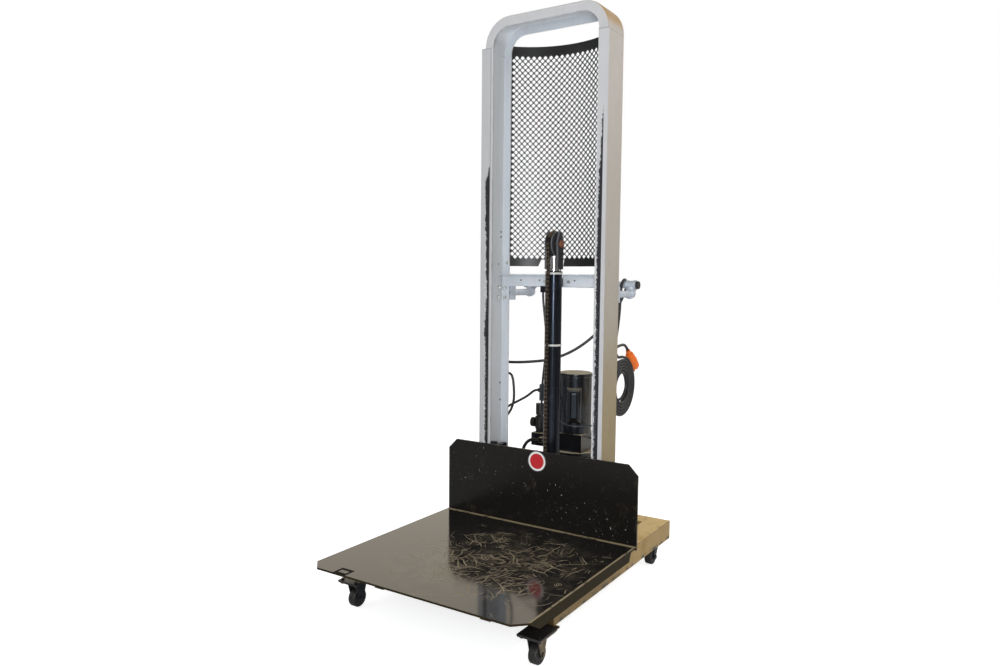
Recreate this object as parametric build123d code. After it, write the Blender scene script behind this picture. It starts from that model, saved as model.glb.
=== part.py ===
from build123d import *
import os
from math import atan2, cos, degrees, hypot, pi, radians, sin, tan

# Platform stacker: a load platform that a chain and a hydraulic cylinder lift up a mast.
# Millimetres, +X to the right seen from the load, +Y to the rear, +Z up.
# While a piece is modelled, Y is taken from the load face of the back plate.
# write_node() moves it to the origin, on the floor under the middle of the part.

# Load platform and back plate
PLATFORM_WIDTH = 660
PLATFORM_LENGTH = 617
PLATFORM_TOP = 149
PLATE = 5
PLATFORM_CUT = 33
SKIRT_DEPTH = 24
SKIRT_START = 37
SKIRT_SLANT = 12
SKIRT_FRONT_SLANT = 40
BACK_PLATE_HEIGHT = 232
BACK_PLATE_CUT = 30
BACK_PLATE_DROP = 11
ARM_X = 167.5
ARM_WIDTH = 30
ARM_DEPTH = 54
ARM_WALL = 4
ARM_LENGTH = 523

# Base frame
BASE_REACH = 335
BASE_TOP = 132
BASE_HEIGHT = 57
BASE_WALL = 4
RAIL_OUTER = 303
RAIL_WIDTH = 69
LEG_REACH = 520
TONGUE_LENGTH = 89
MAST_RAIL_FRONT = 10
MAST_RAIL_DEPTH = 115
REAR_RAIL_DEPTH = 60
DECK_WIDTH = 300
DECK_PLATE = 5

# Mast
MAST_HALF = 208
MAST_FRONT = 12
MAST_DEPTH = 107
MAST_TOP = 1694
CHANNEL_WALL = 4
CHANNEL_FLANGE = 30
CHANNEL_BEND = 6
BOW_RADIUS = 84
BOW_LEG = 4
STRIP_WIDTH = 32
STRIP_THICKNESS = 3
STRIP_OVERHANG_RIGHT = 2.6
STRIP_OVERHANG_LEFT = 9.6
CROSS_BOTTOM = 878
CROSS_HEIGHT = 39
CROSS_WALL = 4
CROSS_SHELF = 22
CROSS_HOLES = (62, 131)
CROSS_HOLE_RADIUS = 3

# Mesh guard
MESH_BOTTOM = 942
MESH_TOP_GAP = 57
MESH_HALF = 190
MESH_MARGIN = 16
MESH_BOW = 75
MESH_THICKNESS = 3
MESH_BAND = 32
MESH_COLUMNS = 9
MESH_ROWS = 15
MESH_STRAND = 7

# Lift cylinder, ram and sheave
CYLINDER_Y = 91.5
BARREL_RADIUS = 26
BARREL_BORE = 21
BARREL_TOP = 912
BARREL_FLOOR = 24
FOOT_WIDTH = 90
FOOT_DEPTH = 48
FOOT_THICKNESS = 12
GLAND_RADIUS = 26.5
GLAND_HEIGHT = 14
GLAND_NECK = 22
BAND_HEIGHT = 6
BAND_THICKNESS = 1
LOWER_BAND_Z = 698
PORT_REACH = 43
PORT_WIDTH = 14
PORT_BOTTOM = 860
PORT_HEIGHT = 20
ROD_RADIUS = 19
ROD_BOTTOM = 182
ROD_TOP = 968
COLLAR_HEIGHT = 25
RUNNING_CLEARANCE = 0.05
FIT_CLEARANCE = 0.3
CLAMP_THICKNESS = 4
CLAMP_HEIGHT = 22
CLAMP_EAR = 24
CLAMP_DROP = 4
LIFT = 1170
SHEAVE_Z = 1009
SHEAVE_WIDTH = 24
SHEAVE_FLANGE = 1.8
SHEAVE_RADIUS = 39
FORK_PLATE = 6
FORK_DEPTH = 34
FORK_GAP = 35
FORK_BOTTOM = 932
FORK_SHOULDER = 14
FORK_RISE = 38
FORK_TIP = 4
SHEAVE_HUB = 14
PIN_RADIUS = 8
PIN_HEAD_RADIUS = 11
PIN_HEAD = 6

# Lift chain
CHAIN_PITCH = 12.7
CHAIN_EYE = 5.2
CHAIN_PIN = 2
CHAIN_BUSH = 3.4
CHAIN_PLATE = 1.3
CHAIN_INNER_GAP = 1.4
CHAIN_SIDE_PLAY = 0.2
SHEAVE_LINKS = 9
FRONT_LINKS = 52
REAR_LINKS = 66
ANCHOR_STUD = 5
ANCHOR_COLLAR = 7.5

# Carriage
BAR_OUTER = 163
BAR_THICKNESS = 16
BAR_DEPTH = 57
BAR_BOTTOM = 140
BAR_TOP = 378
CROSS_BAR_FRONT = 20
CROSS_BAR_DEPTH = 42.5
CROSS_BAR_BOTTOM = 270
CROSS_BAR_HEIGHT = 30
ROLLER_RADIUS = 28
ROLLER_WIDTH = 21
ROLLER_Z = 352
ROLLER_PLAY = 0.4
ROLLER_EDGE = 1.5
ROLLER_SIDE_GAP = 3
STUD_RADIUS = 9
PAD_WIDTH = 24
PAD_HEIGHT = 40
PAD_BOTTOM = 152

# Casters
WHEEL_RADIUS = 25
WHEEL_WIDTH = 23
WHEEL_EDGE = 4
HUB_WIDTH = 26
AXLE_RADIUS = 4
AXLE_EYE = 9
AXLE_HEAD = 6.5
AXLE_HEAD_WIDTH = 4
CASTER_PLATE = 60
CASTER_PLATE_THICKNESS = 3
CASTER_LEG = 2.5
FRONT_CASTER_X = 286
FRONT_CASTER_Y = -479
FRONT_PLATE_WIDTH = 64
FRONT_PLATE_LENGTH = 78
FRONT_FORK_DEPTH = 46
FRONT_BOLT_X = 24
FRONT_BOLT_Y = 30
REAR_CASTER_X = 262
REAR_CASTER_Y = 297
CASTER_TRAIL = 18
KINGPIN_RADIUS = 6
RACE_RADIUS = 20
RACE_HEIGHT = 5
CROWN_RADIUS = 25
CROWN_HEIGHT = 5
CASTER_BOLT_X = 15
CASTER_BOLT_Y = 22
BOLT_RADIUS = 3
BOLT_HOLE = 3.2
BOLT_HEAD = 5.5
NUT_RADIUS = 4.5
BOLT_HEAD_HEIGHT = 4

# Power unit
UNIT_Y = 250
TANK_RADIUS = 72
TANK_WALL = 3
TANK_HEIGHT = 198
FLANGE_HEIGHT = 12
FLANGE_LIP = 2
BLOCK_SIZE = 100
BLOCK_HEIGHT = 58
MANIFOLD_REACH = 140
MANIFOLD_FRONT = 205
MANIFOLD_DEPTH = 45
MANIFOLD_BOTTOM = 346
MANIFOLD_HEIGHT = 42
MOTOR_RADIUS = 53.5
MOTOR_WALL = 3.5
MOTOR_HEIGHT = 185
END_CAP_HEIGHT = 13
END_CAP_LIP = 1.2
BEARING_RADIUS = 14
BEARING_DEPTH = 13
ROTOR_RADIUS = 40
ROTOR_GAP = 28
SHAFT_RADIUS = 8
SHAFT_SEAT = 15
CAPACITOR_WIDTH = 49
CAPACITOR_BOTTOM = 439
CAPACITOR_HEIGHT = 114
CAPACITOR_REACH = 76
CAPACITOR_ANGLE = 23
CAPACITOR_ROUND = 20
TERMINAL_LEFT = -118
TERMINAL_FRONT = 222
TERMINAL_DEPTH = 50
TERMINAL_BOTTOM = 495
TERMINAL_HEIGHT = 55
COVER_THICKNESS = 3
SCREW_RADIUS = 3.2
SCREW_HEIGHT = 2.5
SCREW_INSET = 7
VALVE_X = -121
VALVE_BASE = 12
VALVE_COIL_RADIUS = 15
VALVE_COIL_HEIGHT = 42
VALVE_NECK_RADIUS = 9
VALVE_NECK_HEIGHT = 5
VALVE_CAP_RADIUS = 13.5
VALVE_CAP_HEIGHT = 38
KNOB_RADIUS = 16
KNOB_REACH = 29
KNOB_Z = 420

# Push handle of half-inch pipe
PIPE_RADIUS = 10.65
PIPE_BORE = 7.9
HANDLE_X = 183
HANDLE_Y = 265
STUB_Z = 857
PUSH_BAR_Z = 885
FITTING_RADIUS = 14
FITTING_BEAD = 15.8
BEAD_WIDTH = 5
ELBOW_REACH = 15
TEE_REACH = 16
NIPPLE = 2
CAP_LENGTH = 8
CAP_RADIUS = 12.5
BRACKET_WIDTH = 50
BRACKET_HEIGHT = 47
BRACKET_THICKNESS = 6
BRACKET_BOLT_X = 193
BRACKET_BOLT_RISE = 16
WEB_BOLT_Y = 92

# Control box on the outside of the left mast channel
BOX_DEPTH = 45
BOX_FRONT = 80
BOX_LENGTH = 70
BOX_BOTTOM = 565
BOX_HEIGHT = 125
BOX_WALL = 3
BUTTON_RADIUS = 11
BUTTON_FLANGE = 13
BUTTON_TRAVEL = 4
BUTTON_PROUD = 7
BUTTON_RISE = 24
BUTTON_PLAY = 0.3
GLAND_LENGTH = 12
GLAND_WIDE = 9
GLAND_NARROW = 6.5
CORD_GLAND_Y = 136
CORD_GLAND_Z = 628
LEAD_GLAND_Z = 592
TERMINAL_GLAND_Y = 236
TERMINAL_GLAND_Z = 528

# Cords and hoses: routes are points along the middle of the cord
CORNER_SHARE = 0.45
CORD_DIAMETER = 9
LEAD_DIAMETER = 8
CAPACITOR_LEAD_DIAMETER = 6
VENT_DIAMETER = 7
HOSE_DIAMETER = 11
HOSE_NUT = 8
HOSE_START_X = -92
HOSE_START_Y = 189
HOSE_START_Z = 371
HOSE_PORT_REACH = 40
HOSE_PORT_Z = 166
COIL_Y = 252
COIL_Z = 562
COIL_X = 163
COIL_RADIUS = 96
COIL_STEP = 9.6
COIL_TURNS = 5
COIL_LAST_LIFT = 36
PLUG_RADIUS = 18
PLUG_LENGTH = 58
PLUG_BOOT_LENGTH = 18
PLUG_BOOT_RADIUS = 9
PLUG_NECK_RADIUS = 12.5
PLUG_ANGLE = 47
PLUG_OFFSET = 22
BLADE_LENGTH = 18
BLADE_WIDTH = 6.4
BLADE_THICKNESS = 1.6
BLADE_SPACING = 12.7
EARTH_PIN_RADIUS = 2.4

# Places worked out from the sizes above
OVERALL_LENGTH = PLATFORM_LENGTH + BASE_REACH
FACE_Y = PLATFORM_LENGTH - OVERALL_LENGTH / 2
DECK_UNDERSIDE = PLATFORM_TOP - PLATE
BASE_BOTTOM = BASE_TOP - BASE_HEIGHT
RAIL_INNER = RAIL_OUTER - RAIL_WIDTH
MAST_RAIL_REAR = MAST_RAIL_FRONT + MAST_RAIL_DEPTH
MAST_REAR = MAST_FRONT + MAST_DEPTH
MAST_SEAM = MAST_TOP - BOW_RADIUS - BOW_LEG
MESH_HEIGHT = MAST_TOP - MESH_TOP_GAP - MESH_BOTTOM
CROSS_REAR = MAST_REAR - CHANNEL_WALL
CROSS_TOP = CROSS_BOTTOM + CROSS_HEIGHT
CLAMP_Z = CROSS_BOTTOM + CROSS_HEIGHT / 2 - CLAMP_DROP
CHAIN_RADIUS = CHAIN_PITCH / 2 / sin(pi / 2 / SHEAVE_LINKS)
CHAIN_FRONT_Y = CYLINDER_Y - CHAIN_RADIUS
CHAIN_REAR_Y = CYLINDER_Y + CHAIN_RADIUS
CHAIN_INNER_OUT = CHAIN_INNER_GAP + CHAIN_PLATE
CHAIN_OUTER_IN = CHAIN_INNER_OUT + CHAIN_SIDE_PLAY
CHAIN_OUTER_OUT = CHAIN_OUTER_IN + CHAIN_PLATE
FRONT_ANCHOR_Z = SHEAVE_Z - FRONT_LINKS * CHAIN_PITCH
REAR_ANCHOR_Z = SHEAVE_Z - REAR_LINKS * CHAIN_PITCH
CROSS_BAR_TOP = CROSS_BAR_BOTTOM + CROSS_BAR_HEIGHT
ROLLER_Y = MAST_FRONT + CHANNEL_WALL + ROLLER_PLAY + ROLLER_RADIUS
ROLLER_OUT = MAST_HALF - CHANNEL_WALL - ROLLER_SIDE_GAP
BLOCK_BOTTOM = BASE_TOP + TANK_HEIGHT
BLOCK_TOP = BLOCK_BOTTOM + FLANGE_HEIGHT + BLOCK_HEIGHT
MOTOR_TOP = BLOCK_TOP + MOTOR_HEIGHT
MANIFOLD_TOP = MANIFOLD_BOTTOM + MANIFOLD_HEIGHT
BOX_REAR = BOX_FRONT + BOX_LENGTH
BOX_MIDDLE_X = -MAST_HALF - BOX_DEPTH / 2
BOX_MIDDLE_Z = BOX_BOTTOM + BOX_HEIGHT / 2
CASTER_TOP = BASE_BOTTOM - CASTER_PLATE_THICKNESS


def box(x, y, z):
    """Box between the low and high values of x, y and z."""
    size = [high - low for low, high in (x, y, z)]
    middle = [(high + low) / 2 for low, high in (x, y, z)]
    return Pos(*middle) * Box(*size)


def rod_x(radius, x, y, z):
    """Cylinder along X between the two values of x."""
    return Pos((x[0] + x[1]) / 2, y, z) * Rot(0, 90, 0) * Cylinder(radius, x[1] - x[0])


def rod_y(radius, x, y, z):
    """Cylinder along Y between the two values of y."""
    return Pos(x, (y[0] + y[1]) / 2, z) * Rot(90, 0, 0) * Cylinder(radius, y[1] - y[0])


def rod_z(radius, x, y, z):
    """Cylinder along Z between the two values of z."""
    return Pos(x, y, (z[0] + z[1]) / 2) * Cylinder(radius, z[1] - z[0])


def plate_x(points, x):
    """Plate of the (y, z) outline, between the two values of x."""
    outline = make_face(Polyline(*points, close=True))
    return extrude(Plane.YZ.offset(x[0]) * outline, x[1] - x[0])


def plate_y(points, y):
    """Plate of the (x, z) outline, between the two values of y."""
    outline = make_face(Polyline(*points, close=True))
    return extrude(Plane.XZ.offset(-y[0]) * outline, y[0] - y[1])


def plate_z(points, z):
    """Plate of the (x, y) outline, between the two values of z."""
    outline = make_face(Polyline(*points, close=True))
    return extrude(Plane.XY.offset(z[0]) * outline, z[1] - z[0])


def both_sides(shape):
    """The right-hand piece and its left-hand mirror image."""
    return [shape, mirror(shape, about=Plane.YZ)]


def hexagon(radius, height):
    """Hexagonal head or nut standing on the XY plane."""
    return extrude(RegularPolygon(radius, 6), height)


def platform_deck():
    """Deck plate with cut front corners and a skirt bent down along each side."""
    half = PLATFORM_WIDTH / 2
    front = -PLATFORM_LENGTH
    deck = plate_z(
        [
            (-half, 0),
            (-half, front + PLATFORM_CUT),
            (-half + PLATFORM_CUT, front),
            (half - PLATFORM_CUT, front),
            (half, front + PLATFORM_CUT),
            (half, 0),
        ],
        (DECK_UNDERSIDE, PLATFORM_TOP),
    )
    skirt_bottom = DECK_UNDERSIDE - SKIRT_DEPTH
    skirt = plate_x(
        [
            (-SKIRT_START, DECK_UNDERSIDE),
            (-SKIRT_START - SKIRT_SLANT, skirt_bottom),
            (front + PLATFORM_CUT + SKIRT_FRONT_SLANT, skirt_bottom),
            (front + PLATFORM_CUT, DECK_UNDERSIDE),
        ],
        (half - PLATE, half),
    )
    return [deck + both_sides(skirt)]


def back_plate():
    """Upright plate behind the load, with cut top corners."""
    half = PLATFORM_WIDTH / 2
    top = PLATFORM_TOP + BACK_PLATE_HEIGHT
    bottom = PLATFORM_TOP - BACK_PLATE_DROP
    return [
        plate_y(
            [
                (-half, bottom),
                (half, bottom),
                (half, top - BACK_PLATE_CUT),
                (half - BACK_PLATE_CUT, top),
                (-half + BACK_PLATE_CUT, top),
                (-half, top - BACK_PLATE_CUT),
            ],
            (0, PLATE),
        )
    ]


def platform_arms():
    """Tubes under the deck that carry it from the back plate."""
    low, high = ARM_X - ARM_WIDTH / 2, ARM_X + ARM_WIDTH / 2
    bottom = DECK_UNDERSIDE - ARM_DEPTH
    arm = box((low, high), (-ARM_LENGTH, 0), (bottom, DECK_UNDERSIDE))
    hollow = box(
        (low + ARM_WALL, high - ARM_WALL),
        (-ARM_LENGTH, 0),
        (bottom + ARM_WALL, DECK_UNDERSIDE - ARM_WALL),
    )
    return both_sides(arm - hollow)


def carriage_bars():
    """Upright bars with their roller studs, and the bar between them that the chain pulls."""
    inner = BAR_OUTER - BAR_THICKNESS
    upright = box((inner, BAR_OUTER), (PLATE, PLATE + BAR_DEPTH), (BAR_BOTTOM, BAR_TOP))
    stud = rod_x(STUD_RADIUS, (BAR_OUTER, ROLLER_OUT), ROLLER_Y, ROLLER_Z)
    cross = box(
        (-inner, inner),
        (CROSS_BAR_FRONT, CROSS_BAR_FRONT + CROSS_BAR_DEPTH),
        (CROSS_BAR_BOTTOM, CROSS_BAR_TOP),
    )
    stud_hole = rod_z(ANCHOR_STUD + RUNNING_CLEARANCE, 0, CHAIN_FRONT_Y, (CROSS_BAR_BOTTOM, CROSS_BAR_TOP))
    return both_sides(upright + stud) + [cross - stud_hole]


def guide_roller():
    """Right-hand roller that runs behind the front flange of the mast channel."""
    roller = rod_x(ROLLER_RADIUS, (ROLLER_OUT - ROLLER_WIDTH, ROLLER_OUT), ROLLER_Y, ROLLER_Z)
    roller = fillet(roller.edges().filter_by(GeomType.CIRCLE), ROLLER_EDGE)
    bore = rod_x(STUD_RADIUS + RUNNING_CLEARANCE, (BAR_OUTER, MAST_HALF), ROLLER_Y, ROLLER_Z)
    return roller - bore


def wear_pads():
    """Plastic pads on the back plate that slide on the track strips."""
    middle = MAST_HALF - STRIP_WIDTH / 2 + STRIP_OVERHANG_RIGHT
    gap = MAST_FRONT - STRIP_THICKNESS - FIT_CLEARANCE
    pad = box(
        (middle - PAD_WIDTH / 2, middle + PAD_WIDTH / 2),
        (PLATE, gap),
        (PAD_BOTTOM, PAD_BOTTOM + PAD_HEIGHT),
    )
    return both_sides(pad)


def chain_eye(y, z, stem):
    """Tongue that the end pin of the chain goes through, down to the height of its stem."""
    tongue = box((-CHAIN_INNER_OUT, CHAIN_INNER_OUT), (y - CHAIN_EYE, y + CHAIN_EYE), (stem, z))
    tongue += rod_x(CHAIN_EYE, (-CHAIN_INNER_OUT, CHAIN_INNER_OUT), y, z)
    return tongue - rod_x(CHAIN_PIN + RUNNING_CLEARANCE, (-CHAIN_INNER_OUT, CHAIN_INNER_OUT), y, z)


def carriage_chain_anchor():
    """Threaded anchor through the carriage's cross bar, with its nut below."""
    collar_top = CROSS_BAR_TOP + ANCHOR_COLLAR
    anchor = chain_eye(CHAIN_FRONT_Y, FRONT_ANCHOR_Z, collar_top)
    anchor += rod_z(ANCHOR_COLLAR, 0, CHAIN_FRONT_Y, (CROSS_BAR_TOP, collar_top))
    anchor += rod_z(ANCHOR_STUD, 0, CHAIN_FRONT_Y, (CROSS_BAR_BOTTOM - ANCHOR_COLLAR, CROSS_BAR_TOP))
    nut = Pos(0, CHAIN_FRONT_Y, CROSS_BAR_BOTTOM - ANCHOR_STUD) * hexagon(ANCHOR_COLLAR, ANCHOR_STUD)
    return [anchor + nut]


def chain_base_anchor():
    """Anchor block on the base deck for the rear end of the chain."""
    block_top = BASE_TOP + ANCHOR_STUD
    block = box(
        (-ANCHOR_COLLAR * 2, ANCHOR_COLLAR * 2),
        (CHAIN_REAR_Y - CHAIN_EYE, CHAIN_REAR_Y + 2 * ANCHOR_COLLAR),
        (BASE_TOP, block_top),
    )
    return [block + chain_eye(CHAIN_REAR_Y, REAR_ANCHOR_Z, block_top)]


def link_plate(low, high):
    """Chain link plate along Z from the origin, between two values of x."""
    plate = box((low, high), (-CHAIN_EYE, CHAIN_EYE), (0, CHAIN_PITCH))
    return plate + [rod_x(CHAIN_EYE, (low, high), 0, end) for end in (0, CHAIN_PITCH)]


def outer_link():
    """Two outer plates with the pins that run through the neighbouring links."""
    link = link_plate(CHAIN_OUTER_IN, CHAIN_OUTER_OUT)
    link += mirror(link, about=Plane.YZ)
    reach = CHAIN_OUTER_OUT + CHAIN_PLATE / 2
    return link + [rod_x(CHAIN_PIN, (-reach, reach), 0, end) for end in (0, CHAIN_PITCH)]


def inner_link():
    """Two inner plates with the bushes that turn on the pins."""
    link = link_plate(CHAIN_INNER_GAP, CHAIN_INNER_OUT)
    link += mirror(link, about=Plane.YZ)
    span = (-CHAIN_INNER_OUT, CHAIN_INNER_OUT)
    link += [rod_x(CHAIN_BUSH, span, 0, end) for end in (0, CHAIN_PITCH)]
    return link - [rod_x(CHAIN_PIN + RUNNING_CLEARANCE, span, 0, end) for end in (0, CHAIN_PITCH)]


def chain_pins():
    """Places of the chain's pins in the YZ plane, from the carriage over the sheave to the base."""
    pins = [(CHAIN_FRONT_Y, FRONT_ANCHOR_Z + index * CHAIN_PITCH) for index in range(FRONT_LINKS)]
    for index in range(SHEAVE_LINKS + 1):
        turn = pi - pi * index / SHEAVE_LINKS
        pins.append((CYLINDER_Y + CHAIN_RADIUS * cos(turn), SHEAVE_Z + CHAIN_RADIUS * sin(turn)))
    pins += [(CHAIN_REAR_Y, SHEAVE_Z - index * CHAIN_PITCH) for index in range(1, REAR_LINKS + 1)]
    return pins


def chain_links(first, last):
    """Links of the chain from the first to the last, outer and inner in turn."""
    pins = chain_pins()
    kinds = (outer_link(), inner_link())
    links = []
    for index in range(first, last):
        (y, z), (next_y, next_z) = pins[index], pins[index + 1]
        lean = degrees(atan2(y - next_y, next_z - z))
        links.append(Pos(0, y, z) * Rot(lean, 0, 0) * kinds[index % 2])
    return links


def channel_section():
    """Section of the right mast channel, open towards the middle of the mast."""
    web = MAST_HALF - CHANNEL_WALL
    tip = MAST_HALF - CHANNEL_FLANGE
    front, rear = MAST_FRONT, MAST_REAR
    outline = Polyline(
        (MAST_HALF, front),
        (MAST_HALF, rear),
        (tip, rear),
        (tip, rear - CHANNEL_WALL),
        (web, rear - CHANNEL_WALL),
        (web, front + CHANNEL_WALL),
        (tip, front + CHANNEL_WALL),
        (tip, front),
        close=True,
    )
    section = make_face(outline)
    outer = section.vertices().filter_by_position(Axis.X, MAST_HALF - 1, MAST_HALF + 1)
    section = fillet(outer, CHANNEL_BEND)
    inner = section.vertices().filter_by_position(Axis.X, web - 0.5, web + 0.5)
    return fillet(inner, CHANNEL_BEND - CHANNEL_WALL)


def bracket_bolt_places():
    """Heights of the two bolts of a handle bracket."""
    return [STUB_Z - BRACKET_BOLT_RISE, STUB_Z + BRACKET_BOLT_RISE]


def mast_channel():
    """Right mast channel, with the holes of the handle bracket's bolts."""
    channel = extrude(Pos(0, 0, BASE_TOP) * channel_section(), MAST_SEAM - BASE_TOP)
    for z in bracket_bolt_places():
        channel -= rod_y(BOLT_HOLE, BRACKET_BOLT_X, (CROSS_REAR, MAST_REAR), z)
        channel -= rod_x(BOLT_HOLE, (MAST_HALF - CHANNEL_WALL, MAST_HALF), WEB_BOLT_Y, z)
    return channel


def mast_top_bow():
    """Channel bent round the top of the mast."""
    path = FilletPolyline(
        (MAST_HALF, MAST_FRONT, MAST_SEAM),
        (MAST_HALF, MAST_FRONT, MAST_TOP),
        (-MAST_HALF, MAST_FRONT, MAST_TOP),
        (-MAST_HALF, MAST_FRONT, MAST_SEAM),
        radius=BOW_RADIUS,
    )
    return [sweep(Pos(0, 0, MAST_SEAM) * channel_section(), path=path)]


def mast_track_strips():
    """Flat strips on the front flanges, the left one set outwards."""
    outer = MAST_HALF + STRIP_OVERHANG_RIGHT
    y = (MAST_FRONT - STRIP_THICKNESS, MAST_FRONT)
    right = box((outer - STRIP_WIDTH, outer), y, (BASE_TOP, MAST_SEAM))
    outer = -MAST_HALF - STRIP_OVERHANG_LEFT
    left = box((outer, outer + STRIP_WIDTH), y, (BASE_TOP, MAST_SEAM))
    return [right, left]


def mast_cross_member():
    """Angle between the channels, in two halves that leave room for the cylinder."""
    reach = MAST_HALF - CHANNEL_BEND
    front = CROSS_REAR - CROSS_WALL
    leg = box((0, reach), (front, CROSS_REAR), (CROSS_BOTTOM, CROSS_TOP))
    leg += box((0, reach), (front - CROSS_SHELF, front), (CROSS_TOP - CROSS_WALL, CROSS_TOP))
    leg -= rod_z(BARREL_RADIUS + CROSS_WALL, 0, CYLINDER_Y, (CROSS_BOTTOM, CROSS_TOP))
    middle = (CROSS_BOTTOM + CROSS_TOP) / 2
    for x in CROSS_HOLES:
        leg -= rod_y(CROSS_HOLE_RADIUS, x, (front, CROSS_REAR), middle)
    leg -= rod_y(BOLT_HOLE, clamp_bolt_x(), (front, CROSS_REAR), CLAMP_Z)
    return both_sides(leg)


def clamp_bolt_x():
    """Distance of the clamp's bolts from the middle of the mast."""
    return BARREL_RADIUS + CLAMP_THICKNESS + CLAMP_EAR / 2


def cylinder_clamp():
    """Strap round the back of the barrel, bolted to the cross member."""
    z = (CLAMP_Z - CLAMP_HEIGHT / 2, CLAMP_Z + CLAMP_HEIGHT / 2)
    outside = BARREL_RADIUS + CLAMP_THICKNESS
    strap = rod_z(outside, 0, CYLINDER_Y, z)
    strap &= box((-outside, outside), (CROSS_REAR, CYLINDER_Y + outside), z)
    ear = box((0, outside + CLAMP_EAR), (CROSS_REAR, CROSS_REAR + CLAMP_THICKNESS), z)
    ear -= rod_y(BOLT_HOLE, clamp_bolt_x(), (CROSS_REAR, CROSS_REAR + CLAMP_THICKNESS), CLAMP_Z)
    strap += both_sides(ear)
    return [strap - rod_z(BARREL_RADIUS + RUNNING_CLEARANCE, 0, CYLINDER_Y, z)]


def mesh_guard():
    """Black mesh sheet bowed to the rear, with a solid band at its top and bottom."""
    inner = MESH_HALF - MESH_MARGIN
    rear = MAST_REAR + MESH_THICKNESS
    front_bow = ThreePointArc((-inner, MAST_REAR), (0, MAST_REAR + MESH_BOW), (inner, MAST_REAR))
    rear_bow = ThreePointArc((inner, rear), (0, rear + MESH_BOW), (-inner, rear))
    edge = Polyline((inner, MAST_REAR), (MESH_HALF, MAST_REAR), (MESH_HALF, rear), (inner, rear))
    other_edge = Polyline((-inner, rear), (-MESH_HALF, rear), (-MESH_HALF, MAST_REAR), (-inner, MAST_REAR))
    section = make_face([front_bow, edge, rear_bow, other_edge])
    sheet = extrude(Pos(0, 0, MESH_BOTTOM) * section, MESH_HEIGHT)
    column = 2 * inner / MESH_COLUMNS
    row = (MESH_HEIGHT - 2 * MESH_BAND) / MESH_ROWS
    shrink = MESH_STRAND * hypot(column, row) / (2 * column * row)
    half_width, half_height = column * (0.5 - shrink / 2), row * (0.5 - shrink / 2)
    gap = make_face(
        Polyline((half_width, 0), (0, half_height), (-half_width, 0), (0, -half_height), close=True)
    )
    places = []
    for level in range(2 * MESH_ROWS - 1):
        shift = level % 2
        z = MESH_BOTTOM + MESH_BAND + row * (level + 1) / 2
        for index in range(MESH_COLUMNS - shift):
            places.append((-inner + column * (index + (1 + shift) / 2), z))
    holed = Rectangle(2 * MESH_HALF, MESH_HEIGHT)
    holed = Pos(0, MESH_BOTTOM + MESH_HEIGHT / 2) * holed - [Pos(x, z) * gap for x, z in places]
    print("mesh gaps", len(places))
    reach = MESH_BOW + 2 * MESH_THICKNESS
    curtain = extrude(Plane.XZ.offset(-MAST_REAR + MESH_THICKNESS) * holed, -reach - MESH_THICKNESS)
    return [sheet & curtain]


def base_side_rails():
    """Formed rails, open towards the middle, with closed ends and a tongue over the front caster."""
    y = (-LEG_REACH + TONGUE_LENGTH, BASE_REACH)
    rail = box((RAIL_INNER, RAIL_OUTER), y, (BASE_BOTTOM, BASE_TOP))
    rail -= box(
        (RAIL_INNER, RAIL_OUTER - BASE_WALL),
        (y[0] + BASE_WALL, y[1] - BASE_WALL),
        (BASE_BOTTOM + BASE_WALL, BASE_TOP - BASE_WALL),
    )
    half = FRONT_PLATE_WIDTH / 2
    rail += box(
        (FRONT_CASTER_X - half, FRONT_CASTER_X + half),
        (-LEG_REACH, y[0] + BASE_WALL),
        (BASE_BOTTOM, BASE_BOTTOM + BASE_WALL),
    )
    for x, bolt_y in caster_bolts_right():
        rail -= rod_z(BOLT_HOLE, x, bolt_y, (BASE_BOTTOM, BASE_BOTTOM + BASE_WALL))
    return both_sides(rail)


def cross_rail(front, rear):
    """Rail across the base, open below."""
    rail = box((-RAIL_INNER, RAIL_INNER), (front, rear), (BASE_BOTTOM, BASE_TOP))
    return rail - box(
        (-RAIL_INNER, RAIL_INNER),
        (front + BASE_WALL, rear - BASE_WALL),
        (BASE_BOTTOM, BASE_TOP - BASE_WALL),
    )


def base_cross_rails():
    """Mast rail, rear rail and the deck plate between them."""
    rear_front = BASE_REACH - REAR_RAIL_DEPTH
    deck = box(
        (-DECK_WIDTH / 2, DECK_WIDTH / 2), (MAST_RAIL_REAR, rear_front), (BASE_TOP - DECK_PLATE, BASE_TOP)
    )
    return [cross_rail(MAST_RAIL_FRONT, MAST_RAIL_REAR), cross_rail(rear_front, BASE_REACH), deck]


def cylinder_barrel():
    """Cylinder barrel with its foot, closed floor and vent port."""
    foot = box(
        (-FOOT_WIDTH / 2, FOOT_WIDTH / 2),
        (CYLINDER_Y - FOOT_DEPTH / 2, CYLINDER_Y + FOOT_DEPTH / 2),
        (BASE_TOP, BASE_TOP + FOOT_THICKNESS),
    )
    barrel = foot + rod_z(BARREL_RADIUS, 0, CYLINDER_Y, (BASE_TOP, BARREL_TOP))
    barrel += box(
        (-PORT_REACH, 0),
        (CYLINDER_Y - PORT_WIDTH / 2, CYLINDER_Y + PORT_WIDTH / 2),
        (PORT_BOTTOM, PORT_BOTTOM + PORT_HEIGHT),
    )
    barrel += rod_x(HOSE_NUT, (-HOSE_PORT_REACH, 0), CYLINDER_Y, HOSE_PORT_Z)
    return [barrel - rod_z(BARREL_BORE, 0, CYLINDER_Y, (BASE_TOP + BARREL_FLOOR, BARREL_TOP))]


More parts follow.
